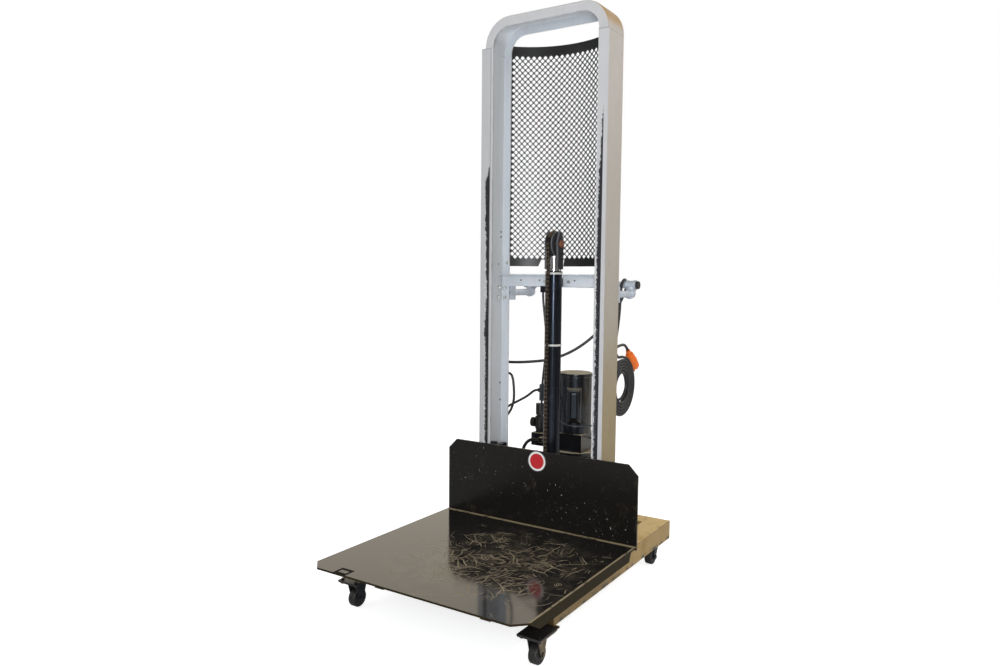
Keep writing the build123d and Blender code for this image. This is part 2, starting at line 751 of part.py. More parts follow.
def cylinder_gland():
    """Gland that closes the barrel round the ram."""
    gland = rod_z(GLAND_RADIUS, 0, CYLINDER_Y, (BARREL_TOP, BARREL_TOP + GLAND_HEIGHT))
    neck = (BARREL_TOP - GLAND_NECK, BARREL_TOP)
    gland += rod_z(BARREL_BORE - RUNNING_CLEARANCE, 0, CYLINDER_Y, neck)
    bore = (BARREL_TOP - GLAND_NECK, BARREL_TOP + GLAND_HEIGHT)
    return [gland - rod_z(ROD_RADIUS + RUNNING_CLEARANCE, 0, CYLINDER_Y, bore)]


def ring_z(inner, outer, z):
    """Ring round the cylinder's axis."""
    return rod_z(outer, 0, CYLINDER_Y, z) - rod_z(inner, 0, CYLINDER_Y, z)


def cylinder_bands():
    """White bands round the gland and the barrel."""
    bands = []
    places = ((GLAND_RADIUS, BARREL_TOP + GLAND_HEIGHT / 2), (BARREL_RADIUS, LOWER_BAND_Z))
    for radius, middle in places:
        z = (middle - BAND_HEIGHT / 2, middle + BAND_HEIGHT / 2)
        bands.append(ring_z(radius + RUNNING_CLEARANCE, radius + BAND_THICKNESS, z))
    return bands


def ram_rod():
    """Ram with the guide collar that runs in the barrel."""
    rod = rod_z(ROD_RADIUS, 0, CYLINDER_Y, (ROD_BOTTOM, ROD_TOP))
    collar = (ROD_BOTTOM, ROD_BOTTOM + COLLAR_HEIGHT)
    return [rod + rod_z(BARREL_BORE - RUNNING_CLEARANCE, 0, CYLINDER_Y, collar)]


def sheave_fork():
    """Two plates on the sides of the ram's end that carry the sheave between them."""
    inside = FORK_GAP / 2
    outside = inside + FORK_PLATE
    half = FORK_DEPTH / 2
    outline = [
        (CYLINDER_Y - half, FORK_BOTTOM),
        (CYLINDER_Y + half, FORK_BOTTOM),
        (CYLINDER_Y + half, SHEAVE_Z + FORK_SHOULDER),
        (CYLINDER_Y + FORK_TIP, SHEAVE_Z + FORK_RISE),
        (CYLINDER_Y - FORK_TIP, SHEAVE_Z + FORK_RISE),
        (CYLINDER_Y - half, SHEAVE_Z + FORK_SHOULDER),
    ]
    cheek = plate_x(outline, (inside, outside))
    cheek -= rod_z(ROD_RADIUS + RUNNING_CLEARANCE, 0, CYLINDER_Y, (FORK_BOTTOM, ROD_TOP))
    cheek -= rod_x(PIN_RADIUS + RUNNING_CLEARANCE, (inside, outside), CYLINDER_Y, SHEAVE_Z)
    return both_sides(cheek)


def sheave_pin():
    """Pin of the sheave, with its head on the right."""
    outside = FORK_GAP / 2 + FORK_PLATE
    pin = rod_x(PIN_RADIUS, (-outside - PIN_HEAD, outside), CYLINDER_Y, SHEAVE_Z)
    return [pin + rod_x(PIN_HEAD_RADIUS, (outside, outside + PIN_HEAD), CYLINDER_Y, SHEAVE_Z)]


def sheave():
    """Grooved wheel that the chain runs over, with a hub that fills the fork."""
    half = SHEAVE_WIDTH / 2
    groove_half = half - SHEAVE_FLANGE
    groove = CHAIN_RADIUS * cos(pi / 2 / SHEAVE_LINKS) - CHAIN_EYE - FIT_CLEARANCE
    wheel = rod_x(SHEAVE_RADIUS, (-half, half), CYLINDER_Y, SHEAVE_Z)
    rim = rod_x(SHEAVE_RADIUS, (-groove_half, groove_half), CYLINDER_Y, SHEAVE_Z)
    wheel -= rim - rod_x(groove, (-groove_half, groove_half), CYLINDER_Y, SHEAVE_Z)
    hub = (-FORK_GAP / 2 + FIT_CLEARANCE, FORK_GAP / 2 - FIT_CLEARANCE)
    wheel += rod_x(SHEAVE_HUB, hub, CYLINDER_Y, SHEAVE_Z)
    return [wheel - rod_x(PIN_RADIUS + RUNNING_CLEARANCE, hub, CYLINDER_Y, SHEAVE_Z)]


def caster_bolts_right():
    """Places of the bolts of the two right casters."""
    casters = (
        (FRONT_CASTER_X, FRONT_CASTER_Y, FRONT_BOLT_X, FRONT_BOLT_Y),
        (REAR_CASTER_X, REAR_CASTER_Y, CASTER_BOLT_X, CASTER_BOLT_Y),
    )
    places = []
    for middle_x, middle_y, reach_x, reach_y in casters:
        for side_x in (-reach_x, reach_x):
            for side_y in (-reach_y, reach_y):
                places.append((middle_x + side_x, middle_y + side_y))
    return places


def caster_plates():
    """Mounting plates under the rails, the rear ones with the seat of the swivel."""
    z = (CASTER_TOP, BASE_BOTTOM)
    casters = (
        (FRONT_CASTER_X, FRONT_CASTER_Y, FRONT_PLATE_WIDTH / 2, FRONT_PLATE_LENGTH / 2),
        (REAR_CASTER_X, REAR_CASTER_Y, CASTER_PLATE / 2, CASTER_PLATE / 2),
    )
    front, rear = [
        box((x - reach_x, x + reach_x), (y - reach_y, y + reach_y), z)
        for x, y, reach_x, reach_y in casters
    ]
    rear += rod_z(RACE_RADIUS, REAR_CASTER_X, REAR_CASTER_Y, (CASTER_TOP - RACE_HEIGHT, CASTER_TOP))
    rear -= rod_z(
        KINGPIN_RADIUS + RUNNING_CLEARANCE,
        REAR_CASTER_X,
        REAR_CASTER_Y,
        (CASTER_TOP - RACE_HEIGHT, BASE_BOTTOM),
    )
    holes = [rod_z(BOLT_HOLE, x, y, z) for x, y in caster_bolts_right()]
    return both_sides(front - holes) + both_sides(rear - holes)


def caster_cheeks(x, top_y, axle_y, top, half_top):
    """Two cheeks of a caster fork that taper down to the axle."""
    inside = HUB_WIDTH / 2 + FIT_CLEARANCE
    outline = [
        (top_y - half_top, top),
        (axle_y - AXLE_EYE, WHEEL_RADIUS),
        (axle_y + AXLE_EYE, WHEEL_RADIUS),
        (top_y + half_top, top),
    ]
    cheeks = []
    for low in (x - inside - CASTER_LEG, x + inside):
        cheek = plate_x(outline, (low, low + CASTER_LEG))
        cheek += rod_x(AXLE_EYE, (low, low + CASTER_LEG), axle_y, WHEEL_RADIUS)
        hole = rod_x(AXLE_RADIUS + RUNNING_CLEARANCE, (low, low + CASTER_LEG), axle_y, WHEEL_RADIUS)
        cheeks.append(cheek - hole)
    return cheeks


def caster_axle(x, y):
    """Axle bolt with a hexagonal head and nut outside the cheeks."""
    outside = HUB_WIDTH / 2 + FIT_CLEARANCE + CASTER_LEG
    axle = rod_x(AXLE_RADIUS, (x - outside, x + outside), y, WHEEL_RADIUS)
    for side in (-1, 1):
        head = Rot(0, 90 * side, 0) * hexagon(AXLE_HEAD, AXLE_HEAD_WIDTH)
        axle += Pos(x + side * outside, y, WHEEL_RADIUS) * head
    return axle


def front_caster_forks():
    """Rigid forks of the front casters with their axles."""
    outside = HUB_WIDTH / 2 + FIT_CLEARANCE + CASTER_LEG
    half = FRONT_FORK_DEPTH / 2
    bridge = box(
        (FRONT_CASTER_X - outside, FRONT_CASTER_X + outside),
        (FRONT_CASTER_Y - half, FRONT_CASTER_Y + half),
        (CASTER_TOP - CASTER_LEG, CASTER_TOP),
    )
    fork = bridge + caster_cheeks(FRONT_CASTER_X, FRONT_CASTER_Y, FRONT_CASTER_Y, CASTER_TOP, half)
    return both_sides(fork) + both_sides(caster_axle(FRONT_CASTER_X, FRONT_CASTER_Y))


def rear_caster_fork():
    """Right swivel fork with its kingpin and crown, and its axle."""
    x, y = REAR_CASTER_X, REAR_CASTER_Y
    axle_y = y - CASTER_TRAIL
    crown_top = CASTER_TOP - RACE_HEIGHT - FIT_CLEARANCE
    crown_bottom = crown_top - CROWN_HEIGHT
    fork = rod_z(CROWN_RADIUS, x, y, (crown_bottom, crown_top))
    fork += rod_z(KINGPIN_RADIUS, x, y, (crown_bottom, BASE_BOTTOM - FIT_CLEARANCE))
    fork += caster_cheeks(x, y, axle_y, crown_top, CASTER_TRAIL - CASTER_LEG)
    return [fork, caster_axle(x, axle_y)]


def caster_wheel(x, y):
    """Wheel with rounded edges, a wider hub and the axle's bore."""
    half = WHEEL_WIDTH / 2
    wheel = rod_x(WHEEL_RADIUS, (x - half, x + half), y, WHEEL_RADIUS)
    wheel = fillet(wheel.edges().filter_by(GeomType.CIRCLE), WHEEL_EDGE)
    hub = (x - HUB_WIDTH / 2, x + HUB_WIDTH / 2)
    wheel += rod_x(2 * AXLE_RADIUS, hub, y, WHEEL_RADIUS)
    return wheel - rod_x(AXLE_RADIUS + RUNNING_CLEARANCE, hub, y, WHEEL_RADIUS)


def oil_tank():
    """Round tank, open at the top under the pump block."""
    tank = rod_z(TANK_RADIUS, 0, UNIT_Y, (BASE_TOP, BLOCK_BOTTOM))
    return [tank - rod_z(TANK_RADIUS - TANK_WALL, 0, UNIT_Y, (BASE_TOP + TANK_WALL, BLOCK_BOTTOM))]


def pump_block():
    """Pump block with the tank flange and the valve manifold on its left."""
    half = BLOCK_SIZE / 2
    block = rod_z(TANK_RADIUS + FLANGE_LIP, 0, UNIT_Y, (BLOCK_BOTTOM, BLOCK_BOTTOM + FLANGE_HEIGHT))
    block += box((-half, half), (UNIT_Y - half, UNIT_Y + half), (BLOCK_BOTTOM + FLANGE_HEIGHT, BLOCK_TOP))
    block += box(
        (-MANIFOLD_REACH, 0),
        (MANIFOLD_FRONT, MANIFOLD_FRONT + MANIFOLD_DEPTH),
        (MANIFOLD_BOTTOM, MANIFOLD_TOP),
    )
    block += box(
        (HOSE_START_X - HOSE_NUT, HOSE_START_X + HOSE_NUT),
        (HOSE_START_Y - HOSE_NUT, MANIFOLD_FRONT),
        (HOSE_START_Z - HOSE_NUT, HOSE_START_Z + HOSE_NUT),
    )
    return [block - rod_z(SHAFT_RADIUS + RUNNING_CLEARANCE, 0, UNIT_Y, (BLOCK_TOP - SHAFT_SEAT, BLOCK_TOP))]


def motor_shell():
    """Tube of the electric motor."""
    z = (BLOCK_TOP, MOTOR_TOP)
    return [rod_z(MOTOR_RADIUS, 0, UNIT_Y, z) - rod_z(MOTOR_RADIUS - MOTOR_WALL, 0, UNIT_Y, z)]


def motor_end_cap():
    """Domed end cap with the upper bearing's boss."""
    cap = rod_z(MOTOR_RADIUS + END_CAP_LIP, 0, UNIT_Y, (MOTOR_TOP, MOTOR_TOP + END_CAP_HEIGHT))
    cap = fillet(cap.edges().group_by(Axis.Z)[-1], END_CAP_HEIGHT / 2)
    boss = (MOTOR_TOP - BEARING_DEPTH, MOTOR_TOP)
    cap += rod_z(BEARING_RADIUS, 0, UNIT_Y, boss)
    return [cap - rod_z(SHAFT_RADIUS + RUNNING_CLEARANCE, 0, UNIT_Y, boss)]


def motor_rotor():
    """Rotor on its shaft, inside the motor."""
    shaft = (BLOCK_TOP - SHAFT_SEAT + FIT_CLEARANCE, MOTOR_TOP - FIT_CLEARANCE)
    rotor = rod_z(ROTOR_RADIUS, 0, UNIT_Y, (BLOCK_TOP + ROTOR_GAP, MOTOR_TOP - ROTOR_GAP))
    return [rotor + rod_z(SHAFT_RADIUS, 0, UNIT_Y, shaft)]


def capacitor_cover():
    """Rounded cover on the front of the motor."""
    half = CAPACITOR_WIDTH / 2
    top = CAPACITOR_BOTTOM + CAPACITOR_HEIGHT
    cover = box((-half, half), (-CAPACITOR_REACH, 0), (CAPACITOR_BOTTOM, top))
    front = cover.faces().sort_by(Axis.Y)[0]
    cover = fillet(front.edges(), CAPACITOR_ROUND)
    cover = Pos(0, UNIT_Y, 0) * Rot(0, 0, CAPACITOR_ANGLE) * cover
    return [cover - rod_z(MOTOR_RADIUS + RUNNING_CLEARANCE, 0, UNIT_Y, (CAPACITOR_BOTTOM, top))]


def terminal_box():
    """Terminal box on the left of the motor, its cover and the cover's screws."""
    rear = TERMINAL_FRONT + TERMINAL_DEPTH
    top = TERMINAL_BOTTOM + TERMINAL_HEIGHT
    body = box((TERMINAL_LEFT, 0), (TERMINAL_FRONT, rear), (TERMINAL_BOTTOM, top))
    body -= rod_z(MOTOR_RADIUS + RUNNING_CLEARANCE, 0, UNIT_Y, (TERMINAL_BOTTOM, top))
    body = body.solids().sort_by(Axis.X)[0]
    outer = TERMINAL_LEFT - COVER_THICKNESS
    cover = box((outer, TERMINAL_LEFT), (TERMINAL_FRONT, rear), (TERMINAL_BOTTOM, top))
    pieces = [body, cover]
    for y in (TERMINAL_FRONT + SCREW_INSET, rear - SCREW_INSET):
        for z in (TERMINAL_BOTTOM + SCREW_INSET, top - SCREW_INSET):
            pieces.append(rod_x(SCREW_RADIUS, (outer - SCREW_HEIGHT, outer), y, z))
    return pieces


def lowering_valve():
    """Solenoid valve on the manifold with its hand knob."""
    y = MANIFOLD_FRONT + MANIFOLD_DEPTH / 2
    coil_bottom = MANIFOLD_TOP + VALVE_BASE
    coil_top = coil_bottom + VALVE_COIL_HEIGHT
    valve = Pos(VALVE_X, y, MANIFOLD_TOP) * hexagon(VALVE_COIL_RADIUS, VALVE_BASE)
    valve += rod_z(VALVE_COIL_RADIUS, VALVE_X, y, (coil_bottom, coil_top))
    cap_bottom = coil_top + VALVE_NECK_HEIGHT
    valve += rod_z(VALVE_NECK_RADIUS, VALVE_X, y, (coil_top, cap_bottom))
    valve += rod_z(VALVE_CAP_RADIUS, VALVE_X, y, (cap_bottom, cap_bottom + VALVE_CAP_HEIGHT))
    valve += rod_x(KNOB_RADIUS / 2, (VALVE_X - KNOB_REACH, VALVE_X), y, KNOB_Z)
    knob = (VALVE_X - KNOB_REACH, VALVE_X - KNOB_REACH / 2)
    return [valve + rod_x(KNOB_RADIUS, knob, y, KNOB_Z)]


def handle_brackets():
    """Plates behind the rear flanges that hold the handle's pipes."""
    y = (MAST_REAR, MAST_REAR + BRACKET_THICKNESS)
    plate = box(
        (MAST_HALF - BRACKET_WIDTH, MAST_HALF),
        y,
        (STUB_Z - BRACKET_HEIGHT / 2, STUB_Z + BRACKET_HEIGHT / 2),
    )
    plate -= rod_y(PIPE_RADIUS + RUNNING_CLEARANCE, HANDLE_X, y, STUB_Z)
    plate -= [rod_y(BOLT_HOLE, BRACKET_BOLT_X, y, z) for z in bracket_bolt_places()]
    return both_sides(plate)


def handle_pipes():
    """Pipe stubs from the brackets, the push bar between the tees and the end nipples."""
    y = (MAST_REAR, HANDLE_Y - ELBOW_REACH)
    stub = rod_y(PIPE_RADIUS, HANDLE_X, y, STUB_Z) - rod_y(PIPE_BORE, HANDLE_X, y, STUB_Z)
    half = HANDLE_X - TEE_REACH
    bar = rod_x(PIPE_RADIUS, (-half, half), HANDLE_Y, PUSH_BAR_Z)
    bar -= rod_x(PIPE_BORE, (-half, half), HANDLE_Y, PUSH_BAR_Z)
    tip = (HANDLE_X + TEE_REACH, HANDLE_X + TEE_REACH + NIPPLE)
    return both_sides(stub) + [bar] + both_sides(rod_x(PIPE_RADIUS, tip, HANDLE_Y, PUSH_BAR_Z))


def handle_fittings():
    """Elbows at the rear of the stubs and the tees that hold the push bar."""
    joint_z = (STUB_Z + PUSH_BAR_Z) / 2
    inlet = HANDLE_Y - ELBOW_REACH
    elbow = Pos(HANDLE_X, HANDLE_Y, STUB_Z) * Sphere(FITTING_RADIUS)
    elbow += rod_y(FITTING_RADIUS, HANDLE_X, (inlet, HANDLE_Y), STUB_Z)
    elbow += rod_y(FITTING_BEAD, HANDLE_X, (inlet, inlet + BEAD_WIDTH), STUB_Z)
    elbow += rod_z(FITTING_RADIUS, HANDLE_X, HANDLE_Y, (STUB_Z, joint_z))
    run = (HANDLE_X - TEE_REACH, HANDLE_X + TEE_REACH)
    tee = rod_x(FITTING_RADIUS, run, HANDLE_Y, PUSH_BAR_Z)
    for low in (run[0], run[1] - BEAD_WIDTH):
        tee += rod_x(FITTING_BEAD, (low, low + BEAD_WIDTH), HANDLE_Y, PUSH_BAR_Z)
    tee += rod_z(FITTING_RADIUS, HANDLE_X, HANDLE_Y, (joint_z, PUSH_BAR_Z))
    return both_sides(elbow) + both_sides(tee)


def push_bar_caps():
    """Dark caps on the ends of the push bar."""
    start = HANDLE_X + TEE_REACH + NIPPLE
    cap = rod_x(CAP_RADIUS, (start, start + CAP_LENGTH), HANDLE_Y, PUSH_BAR_Z)
    return both_sides(fillet(cap.edges().group_by(Axis.X)[-1], CAP_LENGTH / 4))


def bolt_y(x, y, z):
    """Bolt along Y with a head in front of the first value of y and a nut behind the second."""
    bolt = rod_y(BOLT_RADIUS, x, y, z)
    bolt += Pos(x, y[0], z) * Rot(90, 0, 0) * hexagon(BOLT_HEAD, BOLT_HEAD_HEIGHT)
    return bolt + Pos(x, y[1], z) * Rot(-90, 0, 0) * hexagon(BOLT_HEAD, BOLT_HEAD_HEIGHT)


def frame_bolts():
    """Bolts of the casters, the handle brackets, the channel webs and the cylinder clamp."""
    bolts = []
    for x, y in caster_bolts_right():
        nut_z = BASE_BOTTOM + BASE_WALL
        bolt = rod_z(BOLT_RADIUS, x, y, (CASTER_TOP, nut_z))
        bolt += Pos(x, y, CASTER_TOP) * Rot(180, 0, 0) * hexagon(BOLT_HEAD, BOLT_HEAD_HEIGHT)
        bolts.append(bolt + Pos(x, y, nut_z) * hexagon(NUT_RADIUS, BOLT_HEAD_HEIGHT))
    for z in bracket_bolt_places():
        bolts.append(bolt_y(BRACKET_BOLT_X, (CROSS_REAR, MAST_REAR + BRACKET_THICKNESS), z))
        web = rod_x(BOLT_RADIUS, (MAST_HALF - CHANNEL_WALL, MAST_HALF), WEB_BOLT_Y, z)
        head = Rot(0, -90, 0) * hexagon(BOLT_HEAD, BOLT_HEAD_HEIGHT / 2)
        web += Pos(MAST_HALF - CHANNEL_WALL, WEB_BOLT_Y, z) * head
        bolts.append(web)
    bolts.append(bolt_y(clamp_bolt_x(), (CROSS_REAR - CROSS_WALL, CROSS_REAR + CLAMP_THICKNESS), CLAMP_Z))
    return [side for bolt in bolts for side in both_sides(bolt)]


def control_box():
    """Hollow switch box on the left channel, open at the rear for its panel."""
    x = (-MAST_HALF - BOX_DEPTH, -MAST_HALF)
    panel = BOX_REAR - BOX_WALL
    shell = box(x, (BOX_FRONT, panel), (BOX_BOTTOM, BOX_BOTTOM + BOX_HEIGHT))
    return [
        shell
        - box(
            (x[0] + BOX_WALL, x[1] - BOX_WALL),
            (BOX_FRONT + BOX_WALL, panel),
            (BOX_BOTTOM + BOX_WALL, BOX_BOTTOM + BOX_HEIGHT - BOX_WALL),
        )
    ]


def button_places():
    """Heights of the up and the down button."""
    return [BOX_MIDDLE_Z + BUTTON_RISE, BOX_MIDDLE_Z - BUTTON_RISE]


def control_panel():
    """Rear panel of the switch box with its button holes."""
    y = (BOX_REAR - BOX_WALL, BOX_REAR)
    panel = box((-MAST_HALF - BOX_DEPTH, -MAST_HALF), y, (BOX_BOTTOM, BOX_BOTTOM + BOX_HEIGHT))
    return [panel - [rod_y(BUTTON_RADIUS + BUTTON_PLAY, BOX_MIDDLE_X, y, z) for z in button_places()]]


def button(z):
    """Push button that stands proud of the panel, with a flange behind it."""
    back = BOX_REAR - BOX_WALL - FIT_CLEARANCE
    stem = rod_y(BUTTON_RADIUS, BOX_MIDDLE_X, (back, BOX_REAR + BUTTON_PROUD), z)
    return [stem + rod_y(BUTTON_FLANGE, BOX_MIDDLE_X, (back - BUTTON_TRAVEL, back), z)]


def cable_glands():
    """Tapered glands of the power cord and of the motor lead's two ends."""
    glands = []
    places = (
        (-MAST_HALF, CORD_GLAND_Y, CORD_GLAND_Z, 1),
        (-MAST_HALF, CORD_GLAND_Y, LEAD_GLAND_Z, 1),
        (TERMINAL_LEFT - COVER_THICKNESS, TERMINAL_GLAND_Y, TERMINAL_GLAND_Z, -1),
    )
    for x, y, z, side in places:
        gland = Cone(GLAND_WIDE, GLAND_NARROW, GLAND_LENGTH)
        glands.append(Pos(x + side * GLAND_LENGTH / 2, y, z) * Rot(0, 90 * side, 0) * gland)
    return glands


def cord_tube(name, diameter, points):
    """Tube along straight runs joined by the largest arcs that the runs allow."""
    radii = []
    for before, here, after in zip(points, points[1:], points[2:]):
        first, second = Vector(*here) - Vector(*before), Vector(*after) - Vector(*here)
        turn = radians(first.get_angle(second))
        radii.append(CORNER_SHARE * min(first.length, second.length) / tan(turn / 2))
    path = FilletPolyline(*points, radius=radii)
    start = Plane(origin=path @ 0, z_dir=path % 0)
    tube = sweep(start * Circle(diameter / 2), path=path)
    share = tube.volume / (pi * diameter**2 / 4 * path.length)
    print(name, "length", round(path.length), "volume share", round(share, 4))
    print(name, "radii in diameters", [round(radius / diameter, 1) for radius in radii])
    return [tube]


# Power cord: from its gland behind the mast, up over the push bar and down to the coil
POWER_CORD_ROUTE = [
    (-MAST_HALF + GLAND_LENGTH, CORD_GLAND_Y, CORD_GLAND_Z),
    (-168, CORD_GLAND_Y, CORD_GLAND_Z),
    (-122, 156, 631),
    (-64, 184, 638),
    (-8, 216, 661),
    (44, 247, 701),
    (86, 270, 750),
    (124, 287, 806),
    (148, 295, 858),
    (158, 290, 889),
    (160, 265, 906),
    (160, 240, 889),
    (161, 233, 850),
    (162, 226, 800),
    (163, 213, 754),
    (163.6, 196, 704),
    (163.1, 199, 674),
    (COIL_X, 219, COIL_Z + COIL_RADIUS),
    (COIL_X, COIL_Y - CORD_DIAMETER, COIL_Z + COIL_RADIUS),
]

# Motor lead: from the control box, with a slack loop, to the terminal box
MOTOR_LEAD_ROUTE = [
    (-MAST_HALF + GLAND_LENGTH, CORD_GLAND_Y, LEAD_GLAND_Z),
    (-181, CORD_GLAND_Y, LEAD_GLAND_Z),
    (-173, 137, 577),
    (-170, 138, 552),
    (-168.5, 139, 520),
    (-172, 140, 491),
    (-184.6, 141, 463),
    (-208, 150, 441),
    (-233, 168, 437),
    (-245, 190, 452),
    (-233, 208, 469),
    (-200, 218, 487),
    (-168, 229, 507),
    (-147, TERMINAL_GLAND_Y, TERMINAL_GLAND_Z),
    (TERMINAL_LEFT - COVER_THICKNESS - GLAND_LENGTH, TERMINAL_GLAND_Y, TERMINAL_GLAND_Z),
]

# Capacitor lead: round the front of the motor to the right side of the pump block
CAPACITOR_LEAD_ROUTE = [
    (-62, TERMINAL_FRONT, 512),
    (-62, 206, 512),
    (-58, 192, 494),
    (-46, 182, 468),
    (-20, 173, 446),
    (14, 166, 435),
    (42, 172, 433),
    (62, 192, 434),
    (72, 218, 435),
    (77, 240, 422),
    (78, 254, 402),
    (70, 257, 384),
    (BLOCK_SIZE / 2, 257, 384),
]

# Vent hose: from the port at the cylinder's head down to the valve manifold
VENT_ROUTE = [
    (-37, CYLINDER_Y, PORT_BOTTOM),
    (-37, CYLINDER_Y, 838),
    (-32, 94, 790),
    (-30, 102, 736),
    (-36, 114, 678),
    (-51, 130, 625),
    (-68, 150, 576),
    (-83, 172, 520),
    (-96, 195, 463),
    (-98, 210, 424),
    (-96, 213, 406),
    (-96, 213, MANIFOLD_TOP),
]

# Pressure hose: from the manifold down to the cylinder's foot
PRESSURE_HOSE_ROUTE = [
    (HOSE_START_X - HOSE_NUT, HOSE_START_Y, HOSE_START_Z),
    (-122, HOSE_START_Y, HOSE_START_Z),
    (-146, 188.5, 360),
    (-161, 187, 335),
    (-164, 182, 298),
    (-160, 172, 258),
    (-144, 156, 222),
    (-120, 133, 191),
    (-92, 109, 171),
    (-66, CYLINDER_Y, HOSE_PORT_Z),
    (-HOSE_PORT_REACH, CYLINDER_Y, HOSE_PORT_Z),
]


def plug_frame():
    """Start and direction of the plug in the YZ plane of the coil."""
    reach = COIL_RADIUS + CORD_DIAMETER / 2 + PLUG_OFFSET
    turn = radians(PLUG_ANGLE)
    along = (cos(turn), -sin(turn))
    back = (PLUG_LENGTH + PLUG_BOOT_LENGTH) / 2
    y = COIL_Y + reach * sin(turn) - back * along[0]
    z = COIL_Z + reach * cos(turn) - back * along[1]
    return y, z, along


def coil_path():
    """Coil spiralling in, across to the next layer and out again, then over to the plug."""
    steps = 2 * COIL_TURNS
    radii = [COIL_RADIUS - index * COIL_STEP / 2 for index in range(steps + 2)]
    radii += [radii[-1] + COIL_STEP * (1 + index / 2) for index in range(steps - 1)]
    radii[-1] = COIL_RADIUS + COIL_LAST_LIFT
    second_x = COIL_X - COIL_STEP
    ends = []
    for index, radius in enumerate(radii):
        x = COIL_X if index <= steps else second_x
        ends.append((x, COIL_Y, COIL_Z + radius * (-1) ** index))
    edges = [Line((COIL_X, COIL_Y - CORD_DIAMETER, ends[0][2]), ends[0])]
    for index, (here, there) in enumerate(zip(ends, ends[1:])):
        span = hypot(there[0] - here[0], there[2] - here[2])
        side = span / 2 * (-1) ** index
        middle = ((here[0] + there[0]) / 2, COIL_Y + side, (here[2] + there[2]) / 2)
        edges.append(ThreePointArc(here, middle, there))
    y, z, along = plug_frame()
    top = ends[-1][2]
    corner = y - (top - z) * along[0] / -along[1]
    tail_start = ends[-1]
    tail_corner = (second_x, corner, top)
    reach = min(corner - COIL_Y, hypot(y - corner, z - top) - CORD_DIAMETER)
    radius = reach / tan(radians(PLUG_ANGLE) / 2)
    edges.append(FilletPolyline(tail_start, tail_corner, (second_x, y, z), radius=radius * 0.98))
    return Wire([edge for piece in edges for edge in piece.edges()])


def coil_gap(path):
    """Least gap between turns, measured on points along the path."""
    count = 1500
    points = [path.position_at(index / count) for index in range(count + 1)]
    step = path.length / count
    apart = int(3 * CORD_DIAMETER / step)
    least = min(
        (points[first] - points[second]).length
        for first in range(count + 1)
        for second in range(first + apart, count + 1)
    )
    return least - CORD_DIAMETER


def power_cord_coil():
    """Coil of the power cord, hung from the push bar."""
    path = coil_path()
    start = Plane(origin=path @ 0, z_dir=path % 0)
    coil = sweep(start * Circle(CORD_DIAMETER / 2), path=path)
    share = coil.volume / (pi * CORD_DIAMETER**2 / 4 * path.length)
    print("coil length", round(path.length), "volume share", round(share, 4))
    print("coil least gap", round(coil_gap(path), 2))
    return [coil]


def power_plug():
    """Round plug with a tapered boot, a face flange and three blades."""
    y, z, along = plug_frame()
    body_start = PLUG_BOOT_LENGTH
    plug = Pos(0, 0, body_start / 2) * Cone(PLUG_BOOT_RADIUS - 2, PLUG_BOOT_RADIUS, PLUG_BOOT_LENGTH)
    plug += Pos(0, 0, body_start + PLUG_LENGTH / 4) * Cone(PLUG_NECK_RADIUS, PLUG_RADIUS, PLUG_LENGTH / 2)
    plug += Pos(0, 0, body_start + PLUG_LENGTH * 3 / 4) * Cylinder(PLUG_RADIUS, PLUG_LENGTH / 2)
    blade_z = (body_start + PLUG_LENGTH, body_start + PLUG_LENGTH + BLADE_LENGTH)
    for side in (-1, 1):
        x = side * BLADE_SPACING / 2
        plug += box(
            (x - BLADE_THICKNESS / 2, x + BLADE_THICKNESS / 2), (-BLADE_WIDTH, 0), blade_z
        )
    plug += rod_z(EARTH_PIN_RADIUS, 0, BLADE_SPACING / 2, blade_z)
    place = Plane(
        origin=(COIL_X - COIL_STEP, y, z), x_dir=(1, 0, 0), z_dir=(0, along[0], along[1])
    )
    return [place * plug]


def write_node(name, pieces):
    """Write the solids of one node, moved to the part's origin."""
    solids = [solid for piece in pieces for solid in piece.solids()]
    moved = [Pos(0, FACE_Y, 0) * solid for solid in solids]
    export_step(moved[0] if len(moved) == 1 else Compound(moved), f"parts/{name}.step")


